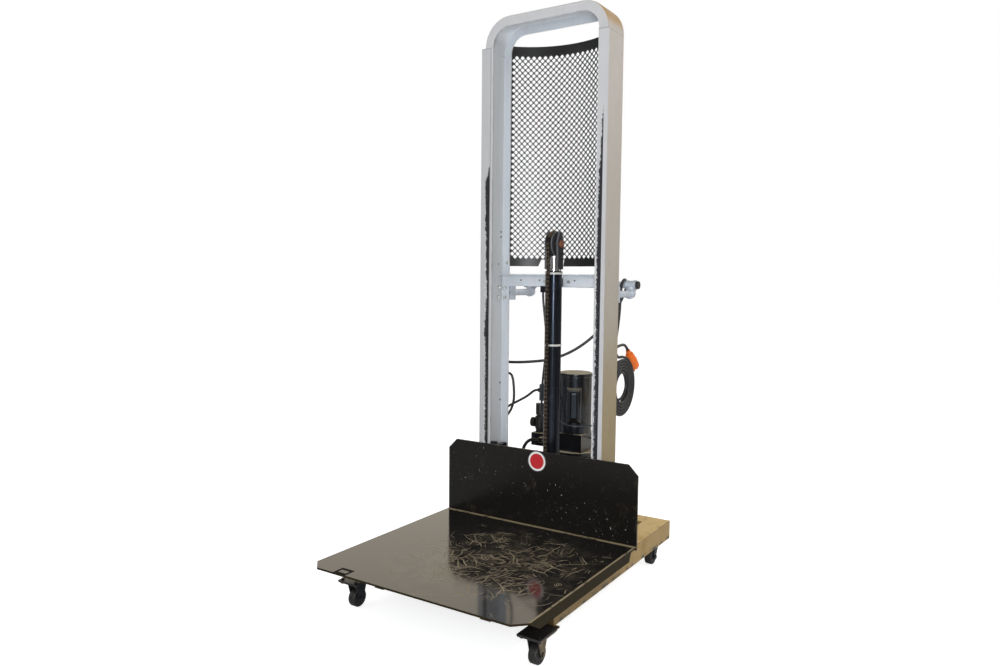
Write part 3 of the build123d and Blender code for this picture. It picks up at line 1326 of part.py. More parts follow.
def main():
    os.makedirs("parts", exist_ok=True)
    bow_end = FRONT_LINKS + SHEAVE_LINKS
    right_channel, left_channel = both_sides(mast_channel())
    right_roller, left_roller = both_sides(guide_roller())
    right_front_wheel, left_front_wheel = both_sides(caster_wheel(FRONT_CASTER_X, FRONT_CASTER_Y))
    rear_wheel = caster_wheel(REAR_CASTER_X, REAR_CASTER_Y - CASTER_TRAIL)
    right_rear_wheel, left_rear_wheel = both_sides(rear_wheel)
    rear_fork = rear_caster_fork()
    up_z, down_z = button_places()
    nodes = {
        "base_side_rails": base_side_rails(),
        "base_cross_rails": base_cross_rails(),
        "mast_left_channel": [left_channel],
        "mast_right_channel": [right_channel],
        "mast_top_bow": mast_top_bow(),
        "mast_track_strips": mast_track_strips(),
        "mast_cross_member": mast_cross_member(),
        "mesh_guard": mesh_guard(),
        "cylinder_barrel": cylinder_barrel(),
        "cylinder_gland": cylinder_gland(),
        "cylinder_bands": cylinder_bands(),
        "cylinder_clamp": cylinder_clamp(),
        "chain_rear_run": chain_links(bow_end, bow_end + REAR_LINKS),
        "chain_base_anchor": chain_base_anchor(),
        "oil_tank": oil_tank(),
        "pump_block": pump_block(),
        "lowering_valve": lowering_valve(),
        "motor_shell": motor_shell(),
        "motor_end_cap": motor_end_cap(),
        "capacitor_cover": capacitor_cover(),
        "terminal_box": terminal_box(),
        "handle_brackets": handle_brackets(),
        "handle_pipes": handle_pipes(),
        "handle_fittings": handle_fittings(),
        "push_bar_caps": push_bar_caps(),
        "control_box": control_box(),
        "control_panel": control_panel(),
        "cable_glands": cable_glands(),
        "power_cord": cord_tube("power cord", CORD_DIAMETER, POWER_CORD_ROUTE),
        "power_cord_coil": power_cord_coil(),
        "power_plug": power_plug(),
        "motor_lead": cord_tube("motor lead", LEAD_DIAMETER, MOTOR_LEAD_ROUTE),
        "capacitor_lead": cord_tube("capacitor lead", CAPACITOR_LEAD_DIAMETER, CAPACITOR_LEAD_ROUTE),
        "vent_hose": cord_tube("vent hose", VENT_DIAMETER, VENT_ROUTE),
        "pressure_hose": cord_tube("pressure hose", HOSE_DIAMETER, PRESSURE_HOSE_ROUTE),
        "frame_bolts": frame_bolts(),
        "caster_plates": caster_plates(),
        "front_caster_forks": front_caster_forks(),
        "platform_deck": platform_deck(),
        "back_plate": back_plate(),
        "platform_arms": platform_arms(),
        "carriage_bars": carriage_bars(),
        "wear_pads": wear_pads(),
        "carriage_chain_anchor": carriage_chain_anchor(),
        "ram_rod": ram_rod(),
        "sheave_fork": sheave_fork(),
        "sheave_pin": sheave_pin(),
        "chain_front_run": chain_links(0, bow_end),
        "sheave": sheave(),
        "guide_roller_left": [left_roller],
        "guide_roller_right": [right_roller],
        "front_wheel_left": [left_front_wheel],
        "front_wheel_right": [right_front_wheel],
        "rear_fork_left": [mirror(piece, about=Plane.YZ) for piece in rear_fork],
        "rear_fork_right": rear_fork,
        "rear_wheel_left": [left_rear_wheel],
        "rear_wheel_right": [right_rear_wheel],
        "motor_rotor": motor_rotor(),
        "up_button": button(up_z),
        "down_button": button(down_z),
    }
    for name, pieces in nodes.items():
        write_node(name, pieces)
    print("nodes", len(nodes))


if __name__ == "__main__":
    main()
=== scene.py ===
"""Looks of the platform stacker: finishes, cords, chain, mesh guard and small fittings round its CAD."""

import bmesh
import bpy
from math import asin, atan2, cos, hypot, pi, radians, sin
from mathutils import Matrix, Vector


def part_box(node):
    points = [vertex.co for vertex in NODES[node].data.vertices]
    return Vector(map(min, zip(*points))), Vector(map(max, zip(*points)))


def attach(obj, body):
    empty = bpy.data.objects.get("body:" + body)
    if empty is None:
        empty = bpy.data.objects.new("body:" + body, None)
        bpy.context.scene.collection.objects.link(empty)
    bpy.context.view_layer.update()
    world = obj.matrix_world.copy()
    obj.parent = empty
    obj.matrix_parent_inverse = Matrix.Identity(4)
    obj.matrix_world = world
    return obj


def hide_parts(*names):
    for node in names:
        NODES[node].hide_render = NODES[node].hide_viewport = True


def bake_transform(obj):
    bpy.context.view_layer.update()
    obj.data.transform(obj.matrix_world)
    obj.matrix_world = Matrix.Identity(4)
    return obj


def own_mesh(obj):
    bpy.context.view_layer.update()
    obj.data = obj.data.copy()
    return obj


bl_info = {
    "name": "Platform stacker looks",
    "version": (1, 0, 0),
    "blender": (4, 5, 0),
    "location": "3D View > Sidebar > Stacker",
    "description": "Dresses the packed platform stacker with its finishes, cords, chain and mesh guard",
    "category": "Object",
}

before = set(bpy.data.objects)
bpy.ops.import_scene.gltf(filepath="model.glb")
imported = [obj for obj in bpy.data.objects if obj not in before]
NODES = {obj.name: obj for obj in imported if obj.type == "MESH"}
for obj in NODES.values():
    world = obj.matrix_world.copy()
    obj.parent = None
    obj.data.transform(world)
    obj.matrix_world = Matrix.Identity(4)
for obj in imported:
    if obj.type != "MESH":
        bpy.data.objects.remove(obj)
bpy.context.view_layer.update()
MM = 0.001
WHITE = (1, 1, 1)
ZINC, DULL_ZINC = (0.55, 0.55, 0.53), (0.3, 0.27, 0.22)

# Load face of the back plate, from which places are measured to the rear
FACE_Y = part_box("back_plate")[0].y
CYLINDER_Y = FACE_Y + 0.0915
MAST_REAR_Y = FACE_Y + 0.119
SHEAVE_Z = 1.009

# Lift chain: its pitch and links, the radius of its pins round the sheave, and the parts of a link
CHAIN_PITCH = 0.0127
SHEAVE_LINKS = 9
FRONT_LINKS = 52
FOOT_LINKS = 1
REAR_LINKS = 66
CHAIN_RADIUS = CHAIN_PITCH / 2 / sin(pi / 2 / SHEAVE_LINKS)
LINK_GAP, LINK_PLATE, LINK_PLAY = 0.0014, 0.0013, 0.0002
LINK_RADIUS, LINK_WRAP = 0.0052, 0.5
LINK_WAIST, LINK_RIM, LINK_CHAMFER = 0.58, 0.94, 0.25
PIN_RADIUS, PIN_SIDES = 0.0021, 10
BUSH_RADIUS, BUSH_SIDES = 0.0034, 12
ROD_END, ROD_SHOULDER = 0.6, 0.3

# Mesh guard: half chord and depth of the sheet's curve, its radius, its solid bands and their gap
SHEET_HALF, SHEET_BOW = 0.180, 0.075
SHEET_RADIUS = (SHEET_HALF**2 + SHEET_BOW**2) / (2 * SHEET_BOW)
SHEET_DEPTH, HOLE_CUT = 0.0005, 0.14
LOWER_BAND, UPPER_BAND = 0.0217, 0.0265
BAND_THICK, BAND_STEPS = 0.003, 64
GAP_LEFT, GAP_LEFT_LEAN = -0.106, 0.010
GAP_RIGHT, GAP_RIGHT_LEAN = -0.022, 0.003

# Places that the paint follows: holes of the left web by y and z, the bow's seam, the straight edge of
# each grease mark, and the outlined mark and the scraped patch of the deck
WEB_X = -0.204
WEB_HOLES = ((0.2463, 1.0518), (0.2465, 1.0357), (0.2488, 0.5615), (0.2492, 0.5052))
WEB_HOLE_RADIUS = 0.0042
BOW_SEAM_Z = 1.604
RIGHT_GREASE_X, LEFT_GREASE_X = 0.1985, -0.1848
DECK_MARK_X, DECK_MARK_Y = -0.219, -0.4575
SCRAPED_X, SCRAPED_Y = 0.07, -0.19
SCRAPED_WIDTH, SCRAPED_DEPTH = 0.26, 0.25

# Waves in the length of a drag mark on the deck, its swing, and angle, length and width of each kind
MARK_WAVES, MARK_SWING = 1.4, 0.45
DRAG_MARKS = (
    (0.15, 0.15, 0.009), (0.7, 0.18, 0.008), (1.25, 0.2, 0.009), (1.75, 0.17, 0.0075), (2.2, 0.2, 0.01),
    (2.75, 0.14, 0.009), (0.4, 0.06, 0.006), (1.5, 0.07, 0.006), (2.5, 0.06, 0.005), (1.05, 0.05, 0.008),
)

# Roughness of noise: soft clouds or grainy patches
SOFT, GRAINY = 0.55, 0.7

# Camera: place, turns in degrees, sensor width in millimetres and the nearest it sees in metres
CAMERA_PLACE = (1.1668, -1.8703, 0.9073)
CAMERA_YAW, CAMERA_PITCH, CAMERA_ROLL = 32.94, 4.15, 0.54
SENSOR_WIDTH, NEAREST = 36, 0.05

# Way from the camera to what lies behind the object, and half the width of the floor
BEHIND_OBJECT = (-0.54, 0.84, 0)
FLOOR_SIZE = 30

# Name, place, aim, size, power in watts and colour of each lamp
LAMPS = (
    ("flash", (1.42, -2.35, 1.05), (0.05, 0.1, 0.95), (0.3, 0.9), 46, (0.94, 0.97, 1.0)),
    ("left", (-2.6, -3.4, 3.0), (0, 0.1, 0.8), (2.6, 2.6), 48, (0.98, 0.99, 1.0)),
    ("right", (3.6, 0.4, 2.4), (0.1, 0.1, 0.7), (2.2, 2.2), 28, (1.0, 0.91, 0.76)),
    ("rear", (2.4, 3.0, 3.0), (0, 0.2, 0.8), (2.4, 2.4), 40, (0.97, 0.98, 1.0)),
    ("top", (0.9, -1.2, 4.4), (0, 0, 0.5), (2.6, 2.6), 30, (1.0, 0.97, 0.92)),
)

# Routes of the cords and hoses, in millimetres with y from the load face
CORD_WIDTH = 9
COIL_X, COIL_Y, COIL_Z = 163, 252, 562
COIL_RADIUS, COIL_STEP, COIL_TURNS, COIL_LAST_LIFT = 96, 9.6, 5, 36
COIL_POINTS = 8
PLUG_ANGLE, PLUG_OFFSET, PLUG_LENGTH, PLUG_BOOT_LENGTH = 47, 22, 58, 18
POWER_CORD_ROUTE = [
    (-196, 136, 628), (-168, 136, 628), (-122, 156, 631), (-64, 184, 638), (-8, 216, 661), (44, 247, 701),
    (86, 270, 750), (124, 287, 806), (148, 295, 858), (158, 290, 889), (160, 265, 906), (160, 240, 889),
    (161, 233, 850), (162, 226, 800), (163, 213, 754), (163.6, 196, 704), (163.1, 199, 674),
    (163, 219, 658), (163, 243, 658),
]
MOTOR_LEAD_ROUTE = [
    (-196, 136, 592), (-181, 136, 592), (-173, 137, 577), (-170, 138, 552), (-168.5, 139, 520),
    (-172, 140, 491), (-184.6, 141, 463), (-208, 150, 441), (-233, 168, 437), (-245, 190, 452),
    (-233, 208, 469), (-200, 218, 487), (-168, 229, 507), (-147, 236, 528), (-133, 236, 528),
]
CAPACITOR_LEAD_ROUTE = [
    (-62, 222, 512), (-62, 206, 512), (-58, 192, 494), (-46, 182, 468), (-20, 173, 446), (14, 166, 435),
    (42, 172, 433), (62, 192, 434), (72, 218, 435), (77, 240, 422), (78, 254, 402), (70, 257, 384),
    (50, 257, 384),
]
VENT_ROUTE = [
    (-37, 91.5, 860), (-37, 91.5, 838), (-32, 94, 790), (-30, 102, 736), (-36, 114, 678), (-51, 130, 625),
    (-68, 150, 576), (-83, 172, 520), (-96, 195, 463), (-98, 210, 424), (-96, 213, 406), (-96, 213, 388),
]
PRESSURE_HOSE_ROUTE = [
    (-100, 189, 371), (-122, 189, 371), (-146, 188.5, 360), (-161, 187, 335), (-164, 182, 298),
    (-160, 172, 258), (-144, 156, 222), (-120, 133, 191), (-92, 109, 171), (-66, 91.5, 166),
    (-40, 91.5, 166),
]

# Red disc: place in millimetres, thickness, share of its radius left on top, and sides
DISC_PLACE = (1.6, 0, 349)
DISC_THICK, DISC_TOP, DISC_SIDES = 0.0004, 0.985, 64

# Screw heads with the way they face, the plugs in the cross member's holes, and the profile of both
SCREWS = (((WEB_X, 0.2338, 0.9486), (1, 0, 0)), ((-0.1845, 0.256, 0.9522), (0, -1, 0)))
SCREW_RADIUS, SCREW_HEIGHT = 0.0048, 0.0022
HOLE_PLUGS_X, HOLE_PLUG_Z, HOLE_PLUG_DEPTH = (-0.131, -0.062, 0.062, 0.131), 0.8975, 0.0012
HOLE_PLUG_RADIUS, HOLE_PLUG_HEIGHT = 0.003, 0.001
HEAD_SIDES = 24
HEAD_PROFILE = ((1, 0), (1, 0.35), (0.86, 0.75), (0.55, 1), (0.3, 1), (0.24, 0.6))


def place(x, y, z):
    """Point given in millimetres, with y from the load face, in the part's frame in metres."""
    return Vector((x * MM, y * MM + FACE_Y, z * MM))


def shade(colour, factor):
    """Colour made darker or paler by a factor."""
    return [min(part * factor, 1) for part in colour]


class Graph:
    """Shader nodes under construction: most methods add nodes and give back an output socket."""

    def __init__(self, tree):
        self.nodes = tree.nodes
        self.links = tree.links

    def feed(self, socket, value):
        """Set a socket to a number or colour, or link it to another socket."""
        if isinstance(value, bpy.types.NodeSocket):
            self.links.new(value, socket)
        elif hasattr(value, "__len__") and len(value) == 3 and len(socket.default_value) == 4:
            socket.default_value = (*value, 1)
        else:
            socket.default_value = value

    def node(self, kind, inputs, **settings):
        """New node of a kind, with its settings made and its inputs fed by name or by number."""
        node = self.nodes.new("ShaderNode" + kind)
        for name, value in settings.items():
            setattr(node, name, value)
        for key, value in inputs.items():
            self.feed(node.inputs[key], value)
        return node

    def math(self, operation, *values):
        """Math node on numbers or sockets."""
        return self.node("Math", dict(enumerate(values)), operation=operation).outputs[0]

    def plus(self, first, second):
        """Sum of two values."""
        return self.math("ADD", first, second)

    def minus(self, first, second):
        """Difference of two values."""
        return self.math("SUBTRACT", first, second)

    def times(self, product, *others):
        """Product of some values."""
        for other in others:
            product = self.math("MULTIPLY", product, other)
        return product

    def most(self, largest, *others):
        """Largest of some values."""
        for other in others:
            largest = self.math("MAXIMUM", largest, other)
        return largest

    def length(self, across, along):
        """Length of two components together."""
        return self.math("SQRT", self.plus(self.math("POWER", across, 2), self.math("POWER", along, 2)))

    def ramp(self, value, low, high, out_low, out_high, kind="LINEAR"):
        """Value carried from the range low to high over to another range."""
        values = (value, low, high, out_low, out_high)
        return self.node("MapRange", dict(enumerate(values)), interpolation_type=kind).outputs[0]

    def step(self, value, low, high, out_low=0.0, out_high=1.0):
        """Smooth step of a value from low to high."""
        return self.ramp(value, low, high, out_low, out_high, "SMOOTHSTEP")

    def mix(self, factor, first, second):
        """Colour mixed between two colours or colour sockets."""
        return self.node("Mix", {"Factor": factor, 6: first, 7: second}, data_type="RGBA").outputs[2]


class Finish(Graph):
    """Material whose tone is laid on in coats over a first colour."""

    def __init__(self, name, colour):
        self.material = bpy.data.materials.new(name)
        self.material.use_nodes = True
        super().__init__(self.material.node_tree)
        self.shader = self.nodes["Principled BSDF"]
        self.coords = self.nodes.new("ShaderNodeTexCoord").outputs["Object"]
        self.tone = colour

    def set(self, **values):
        """Set the shader's own sockets, named with underscores for spaces."""
        for name, value in values.items():
            self.feed(self.shader.inputs[name.replace("_", " ")], value)
        return self

    def lay(self, mask, colour, share=1):
        """Cover the tone so far with a colour, by a share of a mask."""
        if share != 1:
            mask = self.times(mask, share)
        self.tone = self.mix(mask, self.tone, colour)
        return self.set(Base_Color=self.tone)

    def gloss(self, mask, smooth, rough):
        """Roughness that goes from one value to another over a mask."""
        return self.set(Roughness=self.step(mask, 0, 1, smooth, rough))

    def on(self, *nodes):
        """Give this finish to some CAD nodes."""
        for node in nodes:
            materials = NODES[node].data.materials
            materials.clear()
            materials.append(self.material)

    def noise(self, scale, detail=4, rough=SOFT, stretch=None, distort=0):
        """Noise at a scale in cells per metre."""
        vector = self.coords
        if stretch:
            vector = self.node("Mapping", {"Vector": self.coords, "Scale": stretch}).outputs["Vector"]
        inputs = {"Vector": vector, "Scale": scale, "Detail": detail, "Roughness": rough}
        return self.node("TexNoise", {**inputs, "Distortion": distort}).outputs["Fac"]

    def patches(self, scale, low, high, detail=5, rough=GRAINY):
        """Mask of patches, where noise rises from low to high."""
        return self.step(self.noise(scale, detail, rough), low, high)

    def at(self):
        """Object coordinates X, Y and Z."""
        return self.node("SeparateXYZ", {0: self.coords}).outputs

    def facing(self):
        """X, Y and Z of the surface normal, in the object's own axes."""
        normal = self.nodes.new("ShaderNodeTexCoord").outputs["Normal"]
        return self.node("SeparateXYZ", {0: normal}).outputs

    def spots(self, places, radius):
        """Mask of round spots at some places."""
        masks = []
        for where in places:
            away = self.node("VectorMath", {0: self.coords, 1: where}, operation="DISTANCE")
            masks.append(self.step(away.outputs["Value"], radius, radius * 0.75))
        return self.most(*masks)

    def within(self, value, middle, reach, soft):
        """Mask of a band to each side of a middle value."""
        return self.step(self.math("ABSOLUTE", self.minus(value, middle)), reach, reach - soft)

    def rounded(self, radius):
        """Normal rounded over the edges by a radius."""
        return self.node("Bevel", {"Radius": radius}, samples=4).outputs[0]

    def edge(self, radius):
        """Mask of the edges, from how far a rounded normal leaves the flat one."""
        flat = self.nodes.new("ShaderNodeNewGeometry").outputs["Normal"]
        along = self.node("VectorMath", {0: self.rounded(radius), 1: flat}, operation="DOT_PRODUCT")
        return self.step(along.outputs["Value"], 0.995, 0.85)

    def chipped(self, radius, *patches):
        """Mask of the edges where patches cross them."""
        return self.times(self.edge(radius), self.patches(*patches))

    def bump(self, height, strength, distance, round_edges=0):
        """Bump on the shader's normal, with edges rounded by a small radius where one is given."""
        inputs = {"Strength": strength, "Distance": distance, "Height": height}
        if round_edges:
            inputs["Normal"] = self.rounded(round_edges)
        return self.set(Normal=self.node("Bump", inputs).outputs["Normal"])


def colour_prop(name, description, default):
    """Colour setting of the panel."""
    return bpy.props.FloatVectorProperty(
        name=name, description=description, subtype="COLOR", size=3, min=0, max=1, default=default
    )


def number_prop(name, description, default, **kind):
    """Number setting of the panel, with its unit or subtype."""
    return bpy.props.FloatProperty(name=name, description=description, default=default, min=0, **kind)


def length_prop(name, description, default):
    """Length setting of the panel."""
    return number_prop(name, description, default, unit="LENGTH")


def strength_prop(name, description, default):
    """Strength of a light in the panel."""
    return number_prop(name, description, default, subtype="FACTOR")


class StackerPaint(bpy.types.PropertyGroup):
    """Colours of the machine."""

    mast: colour_prop("Mast", "Pale grey paint of the mast", (0.46, 0.46, 0.472))
    base: colour_prop("Base", "Tan paint of the base frame", (0.5, 0.328, 0.09))
    platform: colour_prop("Platform", "Black paint of the platform and back plate", (0.0055, 0.0048, 0.004))
    scratch: colour_prop("Scratches", "Bare marks in the platform's paint", (0.24, 0.195, 0.13))
    machine: colour_prop("Machine black", "Gloss black of cylinder and motor", (0.008, 0.008, 0.009))
    # This colour is also laid as the painted warm reflection on the power unit's right sides
    dust: colour_prop("Dust", "Dust on top of the power unit", (0.42, 0.36, 0.25))
    rust: colour_prop("Rust", "Rust of the chain", (0.112, 0.076, 0.046))
    galvanised: colour_prop("Galvanised", "Zinc of the pipe handle", (0.56, 0.61, 0.68))
    rubber: colour_prop("Rubber", "Cords and hoses", (0.012, 0.012, 0.013))
    plug: colour_prop("Plug", "Orange moulding of the plug", (0.83, 0.16, 0.012))
    disc: colour_prop("Disc", "Red disc on the back plate", (0.48, 0.009, 0.016))


class StackerSizes(bpy.types.PropertyGroup):
    """Sizes of the pieces that are made here."""

    mesh_pitch: length_prop("Mesh pitch", "Distance between mesh openings along the sheet", 0.0184)
    mesh_rise: length_prop("Mesh rise", "Distance between mesh openings up the sheet", 0.0185)
    mesh_strand: length_prop("Mesh strand", "Width of a mesh strand", 0.0028)
    mesh_sheet: length_prop("Mesh thickness", "Thickness of the mesh sheet", 0.002)
    cord: length_prop("Power cord", "Diameter of the power cord", CORD_WIDTH * MM)
    lead: length_prop("Motor lead", "Diameter of the motor lead", 0.008)
    thin_lead: length_prop("Capacitor lead", "Diameter of the capacitor lead", 0.006)
    vent: length_prop("Vent hose", "Diameter of the vent hose", 0.007)
    hose: length_prop("Pressure hose", "Diameter of the pressure hose", 0.011)
    disc: length_prop("Disc radius", "Radius of the red disc", 0.034)


class StackerStage(bpy.types.PropertyGroup):
    """Camera, floor and light."""

    mirror: colour_prop("Mirrored", "Colour of the surroundings in reflections", (1.0, 0.9, 0.75))
    lens: number_prop("Lens", "Focal length of the camera", 27.91, subtype="DISTANCE_CAMERA")
    floor: colour_prop("Floor", "Pale floor", (0.66, 0.66, 0.66))
    glow: strength_prop("Floor lift", "What the camera sees the floor lifted by", 0.74)
    ambient: strength_prop("Ambient", "Strength of the surrounding light", 0.45)
    behind: strength_prop("Behind", "Strength of what is reflected from behind the object", 1.1)
    before: strength_prop("Before", "Strength of what is reflected from before the object", 0.06)


def paint(name, colour, dirt, rough, worn_edge=None):
    """Sprayed paint with soft mottling, dirt and orange peel, and worn edges where a colour is given."""
    coat = Finish(name, colour)
    coat.lay(coat.patches(5, 0.35, 0.75, 5, SOFT), shade(colour, 0.86), 0.35)
    coat.lay(coat.patches(60, 0.55, 0.8, 6), dirt, 0.3)
    if worn_edge:
        coat.lay(coat.chipped(0.002, 45, 0.5, 0.62), worn_edge)
    coat.set(Roughness=coat.step(coat.noise(25, 5), 0.2, 0.8, rough - 0.08, rough + 0.12))
    return coat.bump(coat.noise(900, 2), 0.06, 0.0004, 0.0012)


def mast_finish(colour):
    """Pale mast paint chipped at the edges, with painted light and shade: paler, cooler insides and bow
    underside, a warm highlight on the crown, warm greige down the right side, shaded web holes.
    """
    coat = Finish("mast_paint", colour)
    x, y, z = coat.at()
    side_on, _, up = coat.facing()
    # Painted light: the channels' insides are made paler and bluer, the web a little less so, standing in
    # for fill light reaching in
    painted_inside_light = coat.times(coat.step(y, 0.158, 0.162), coat.step(x, 0.2, 0.195))
    coat.lay(painted_inside_light, (0.62, 0.665, 0.72), 0.85)
    web = coat.times(painted_inside_light, coat.step(side_on, 0.4, 0.8))
    coat.lay(web, (0.56, 0.565, 0.57), 0.8)
    # Painted light: what faces down is made pale blue-white, as if lit from below
    painted_underside_light = coat.step(up, -0.3, -0.8)
    coat.lay(painted_underside_light, (0.9, 0.93, 0.97))
    # Painted shade and warm light: the right-facing outer side is tinted greige, tanner lower down
    outer = coat.times(coat.step(x, 0.196, 0.204), coat.step(side_on, 0.3, 0.8))
    low = coat.step(coat.plus(z, coat.times(coat.noise(4, 4), 0.3)), 1.2, 0.5)
    coat.lay(outer, coat.mix(low, (0.385, 0.355, 0.32), (0.258, 0.198, 0.098)))
    # Painted highlight: warm tan on the bow's upper right corner
    painted_crown_highlight = coat.times(coat.step(side_on, 0.1, 0.5), coat.step(up, 0.0, 0.4), coat.step(x, 0.15, 0.19))
    coat.lay(painted_crown_highlight, (0.36, 0.225, 0.09))
    streaks = coat.step(coat.noise(14, 6, 0.65, (5, 5, 0.5)), 0.45, 0.75)
    coat.lay(streaks, (0.3, 0.27, 0.22), 0.14)
    specks = coat.patches(75, 0.7, 0.74, 4, 0.65)
    coat.lay(specks, (0.12, 0.1, 0.09), 0.7)
    coat.lay(coat.chipped(0.0025, 38, 0.56, 0.62), (0.07, 0.06, 0.055))
    seam = coat.times(coat.within(z, BOW_SEAM_Z, 0.0022, 0.001), coat.patches(120, 0.42, 0.55, 4, SOFT))
    coat.lay(coat.times(seam, outer), (0.16, 0.14, 0.13), 0.35)
    # Painted shade: dark spots stand for the shaded insides of the web holes
    holes = coat.spots([(WEB_X, *hole) for hole in WEB_HOLES], WEB_HOLE_RADIUS)
    coat.lay(holes, (0.03, 0.03, 0.035))
    coat.set(Roughness=coat.step(coat.noise(25, 5), 0.2, 0.8, 0.36, 0.52))
    return coat.bump(coat.noise(900, 2), 0.06, 0.0004, 0.0015)


def track_finish(colour):
    """Strip paint with a black grease mark down each strip, clean to the right and frayed to the left."""
    coat = Finish("track_strip_paint", colour)
    x, _, z = coat.at()
    fray = coat.times(coat.minus(coat.noise(110, 6, 0.8), 0.5), 0.028)
    speckle = coat.noise(260, 5, 0.75)
    thinned = coat.step(z, 1.0, 0.75, 0.03, 0.09)
    front = coat.step(coat.facing()["Y"], -0.4, -0.6)

    def grease(edge, width):
        """Mask of the mark to the left of an edge, and the distance from that edge."""
        inward = coat.minus(edge, x)
        left = coat.plus(coat.minus(width, inward), fray)
        inside = coat.times(coat.step(inward, -0.0004, 0.0004), coat.step(left, -0.0004, 0.0006))
        begun = coat.times(coat.step(width, 0.0004, 0.003), front)
        share = coat.math("DIVIDE", inward, coat.most(width, 0.001))
        kept = coat.step(coat.minus(speckle, coat.times(share, thinned)), 0.31, 0.37)
        return coat.times(inside, begun, kept), inward

    right_width = coat.times(coat.math("POWER", coat.step(z, 1.405, 1.03), 0.45), 0.0132)
    bulges = coat.plus(coat.within(z, 1.14, 0.12, 0.05), coat.times(coat.within(z, 0.742, 0.06, 0.05), 1.4))
    bulges = coat.minus(bulges, coat.within(z, 0.866, 0.07, 0.06))
    left_width = coat.times(coat.plus(coat.times(bulges, 0.0032), 0.0122), coat.step(z, 1.265, 1.19))
    right_mark, right_inward = grease(RIGHT_GREASE_X, right_width)
    left_mark, left_inward = grease(LEFT_GREASE_X, left_width)
    mark = coat.most(right_mark, left_mark)
    left_strip = coat.step(x, 0.05, -0.05)
    coat.lay(left_strip, shade(colour, 0.9))
    coat.lay(coat.patches(7, 0.4, 0.7, 4, SOFT), shade(colour, 0.82), 0.3)
    beside = coat.most(
        coat.within(right_inward, 0.01, 0.012, 0.004), coat.within(left_inward, 0.009, 0.011, 0.004)
    )
    rough = coat.times(beside, coat.patches(150, 0.5, 0.6, 6, 0.75), coat.step(z, 1.2, 0.95))
    coat.lay(rough, (0.7, 0.68, 0.68), 0.5)
    specks = coat.patches(55, 0.66, 0.72, 6, 0.75)
    coat.lay(specks, (0.25, 0.22, 0.18), 0.6)
    coat.lay(right_mark, (0.005, 0.0045, 0.01))
    coat.lay(left_mark, (0.003, 0.003, 0.0035))
    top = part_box("mast_track_strips")[1].z
    coat.lay(coat.step(z, top - 0.003, top - 0.0015, 0, 0.6), (0.13, 0.12, 0.12))
    coat.gloss(mark, 0.42, 0.62)
    return coat.bump(coat.plus(coat.times(mark, 0.6), coat.noise(800, 2)), 0.12, 0.0006, 0.001)


def base_finish(colour):
    """Tan paint with dark dirt in patches and along the edges, painted shade on the sides that deepens
    towards the front, and front ends painted near black for shade and dirt.
    """
    coat = Finish("base_paint", colour)
    _, y, z = coat.at()
    # Painted shade: faces that don't face up are darker, and darker still towards the front
    side = coat.step(coat.facing()["Z"], 0.6, 0.2)
    near = coat.step(y, 0.25, -0.1)
    coat.lay(side, coat.mix(near, (0.33, 0.215, 0.07), (0.17, 0.105, 0.022)))
    dirt = coat.patches(14, 0.48, 0.72, 7)
    coat.lay(dirt, shade(colour, 0.4), 0.4)
    specks = coat.patches(85, 0.64, 0.7)
    coat.lay(specks, (0.05, 0.035, 0.02))
    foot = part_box("base_side_rails")[0].z
    low = coat.step(z, foot + 0.014, foot + 0.006)
    chips = coat.times(low, coat.patches(48, 0.5, 0.56), side)
    coat.lay(coat.most(coat.chipped(0.003, 30, 0.42, 0.58, 6), chips), (0.035, 0.025, 0.012))
    # Painted shade and dirt: the front ends are made near black
    front_end = coat.step(y, -0.284, -0.294)
    coat.lay(front_end, (0.012, 0.01, 0.009))
    coat.gloss(dirt, 0.38, 0.6)
    return coat.bump(coat.noise(700, 3), 0.1, 0.0005, 0.002)


def strokes(coat, angle, length, width, share):
    """Separate bent strokes lying about one direction, a share of them kept, as a mask."""
    waves = {"Vector": coat.coords, "Scale": MARK_WAVES / length, "Detail": 2}
    bend = coat.node("TexNoise", waves).outputs["Color"]
    swing = (MARK_SWING * length,) * 3
    bent = coat.node("VectorMath", {0: bend, 1: swing, 2: coat.coords}, operation="MULTIPLY_ADD").outputs[0]
    lie = {"Vector": bent, "Rotation": (0, 0, angle), "Scale": (length, width, 1)}
    turned = coat.node("Mapping", lie, vector_type="TEXTURE").outputs[0]
    cells = coat.node("TexVoronoi", {"Vector": turned, "Scale": 1}, voronoi_dimensions="2D")
    chance = coat.node("SeparateColor", {0: cells.outputs["Color"]}).outputs
    kept = coat.math("LESS_THAN", chance[0], share)
    faint = coat.step(chance[1], 0, 1, 0.2, 1)
    return coat.times(kept, faint, coat.step(cells.outputs["Distance"], 0.24, 0.14))


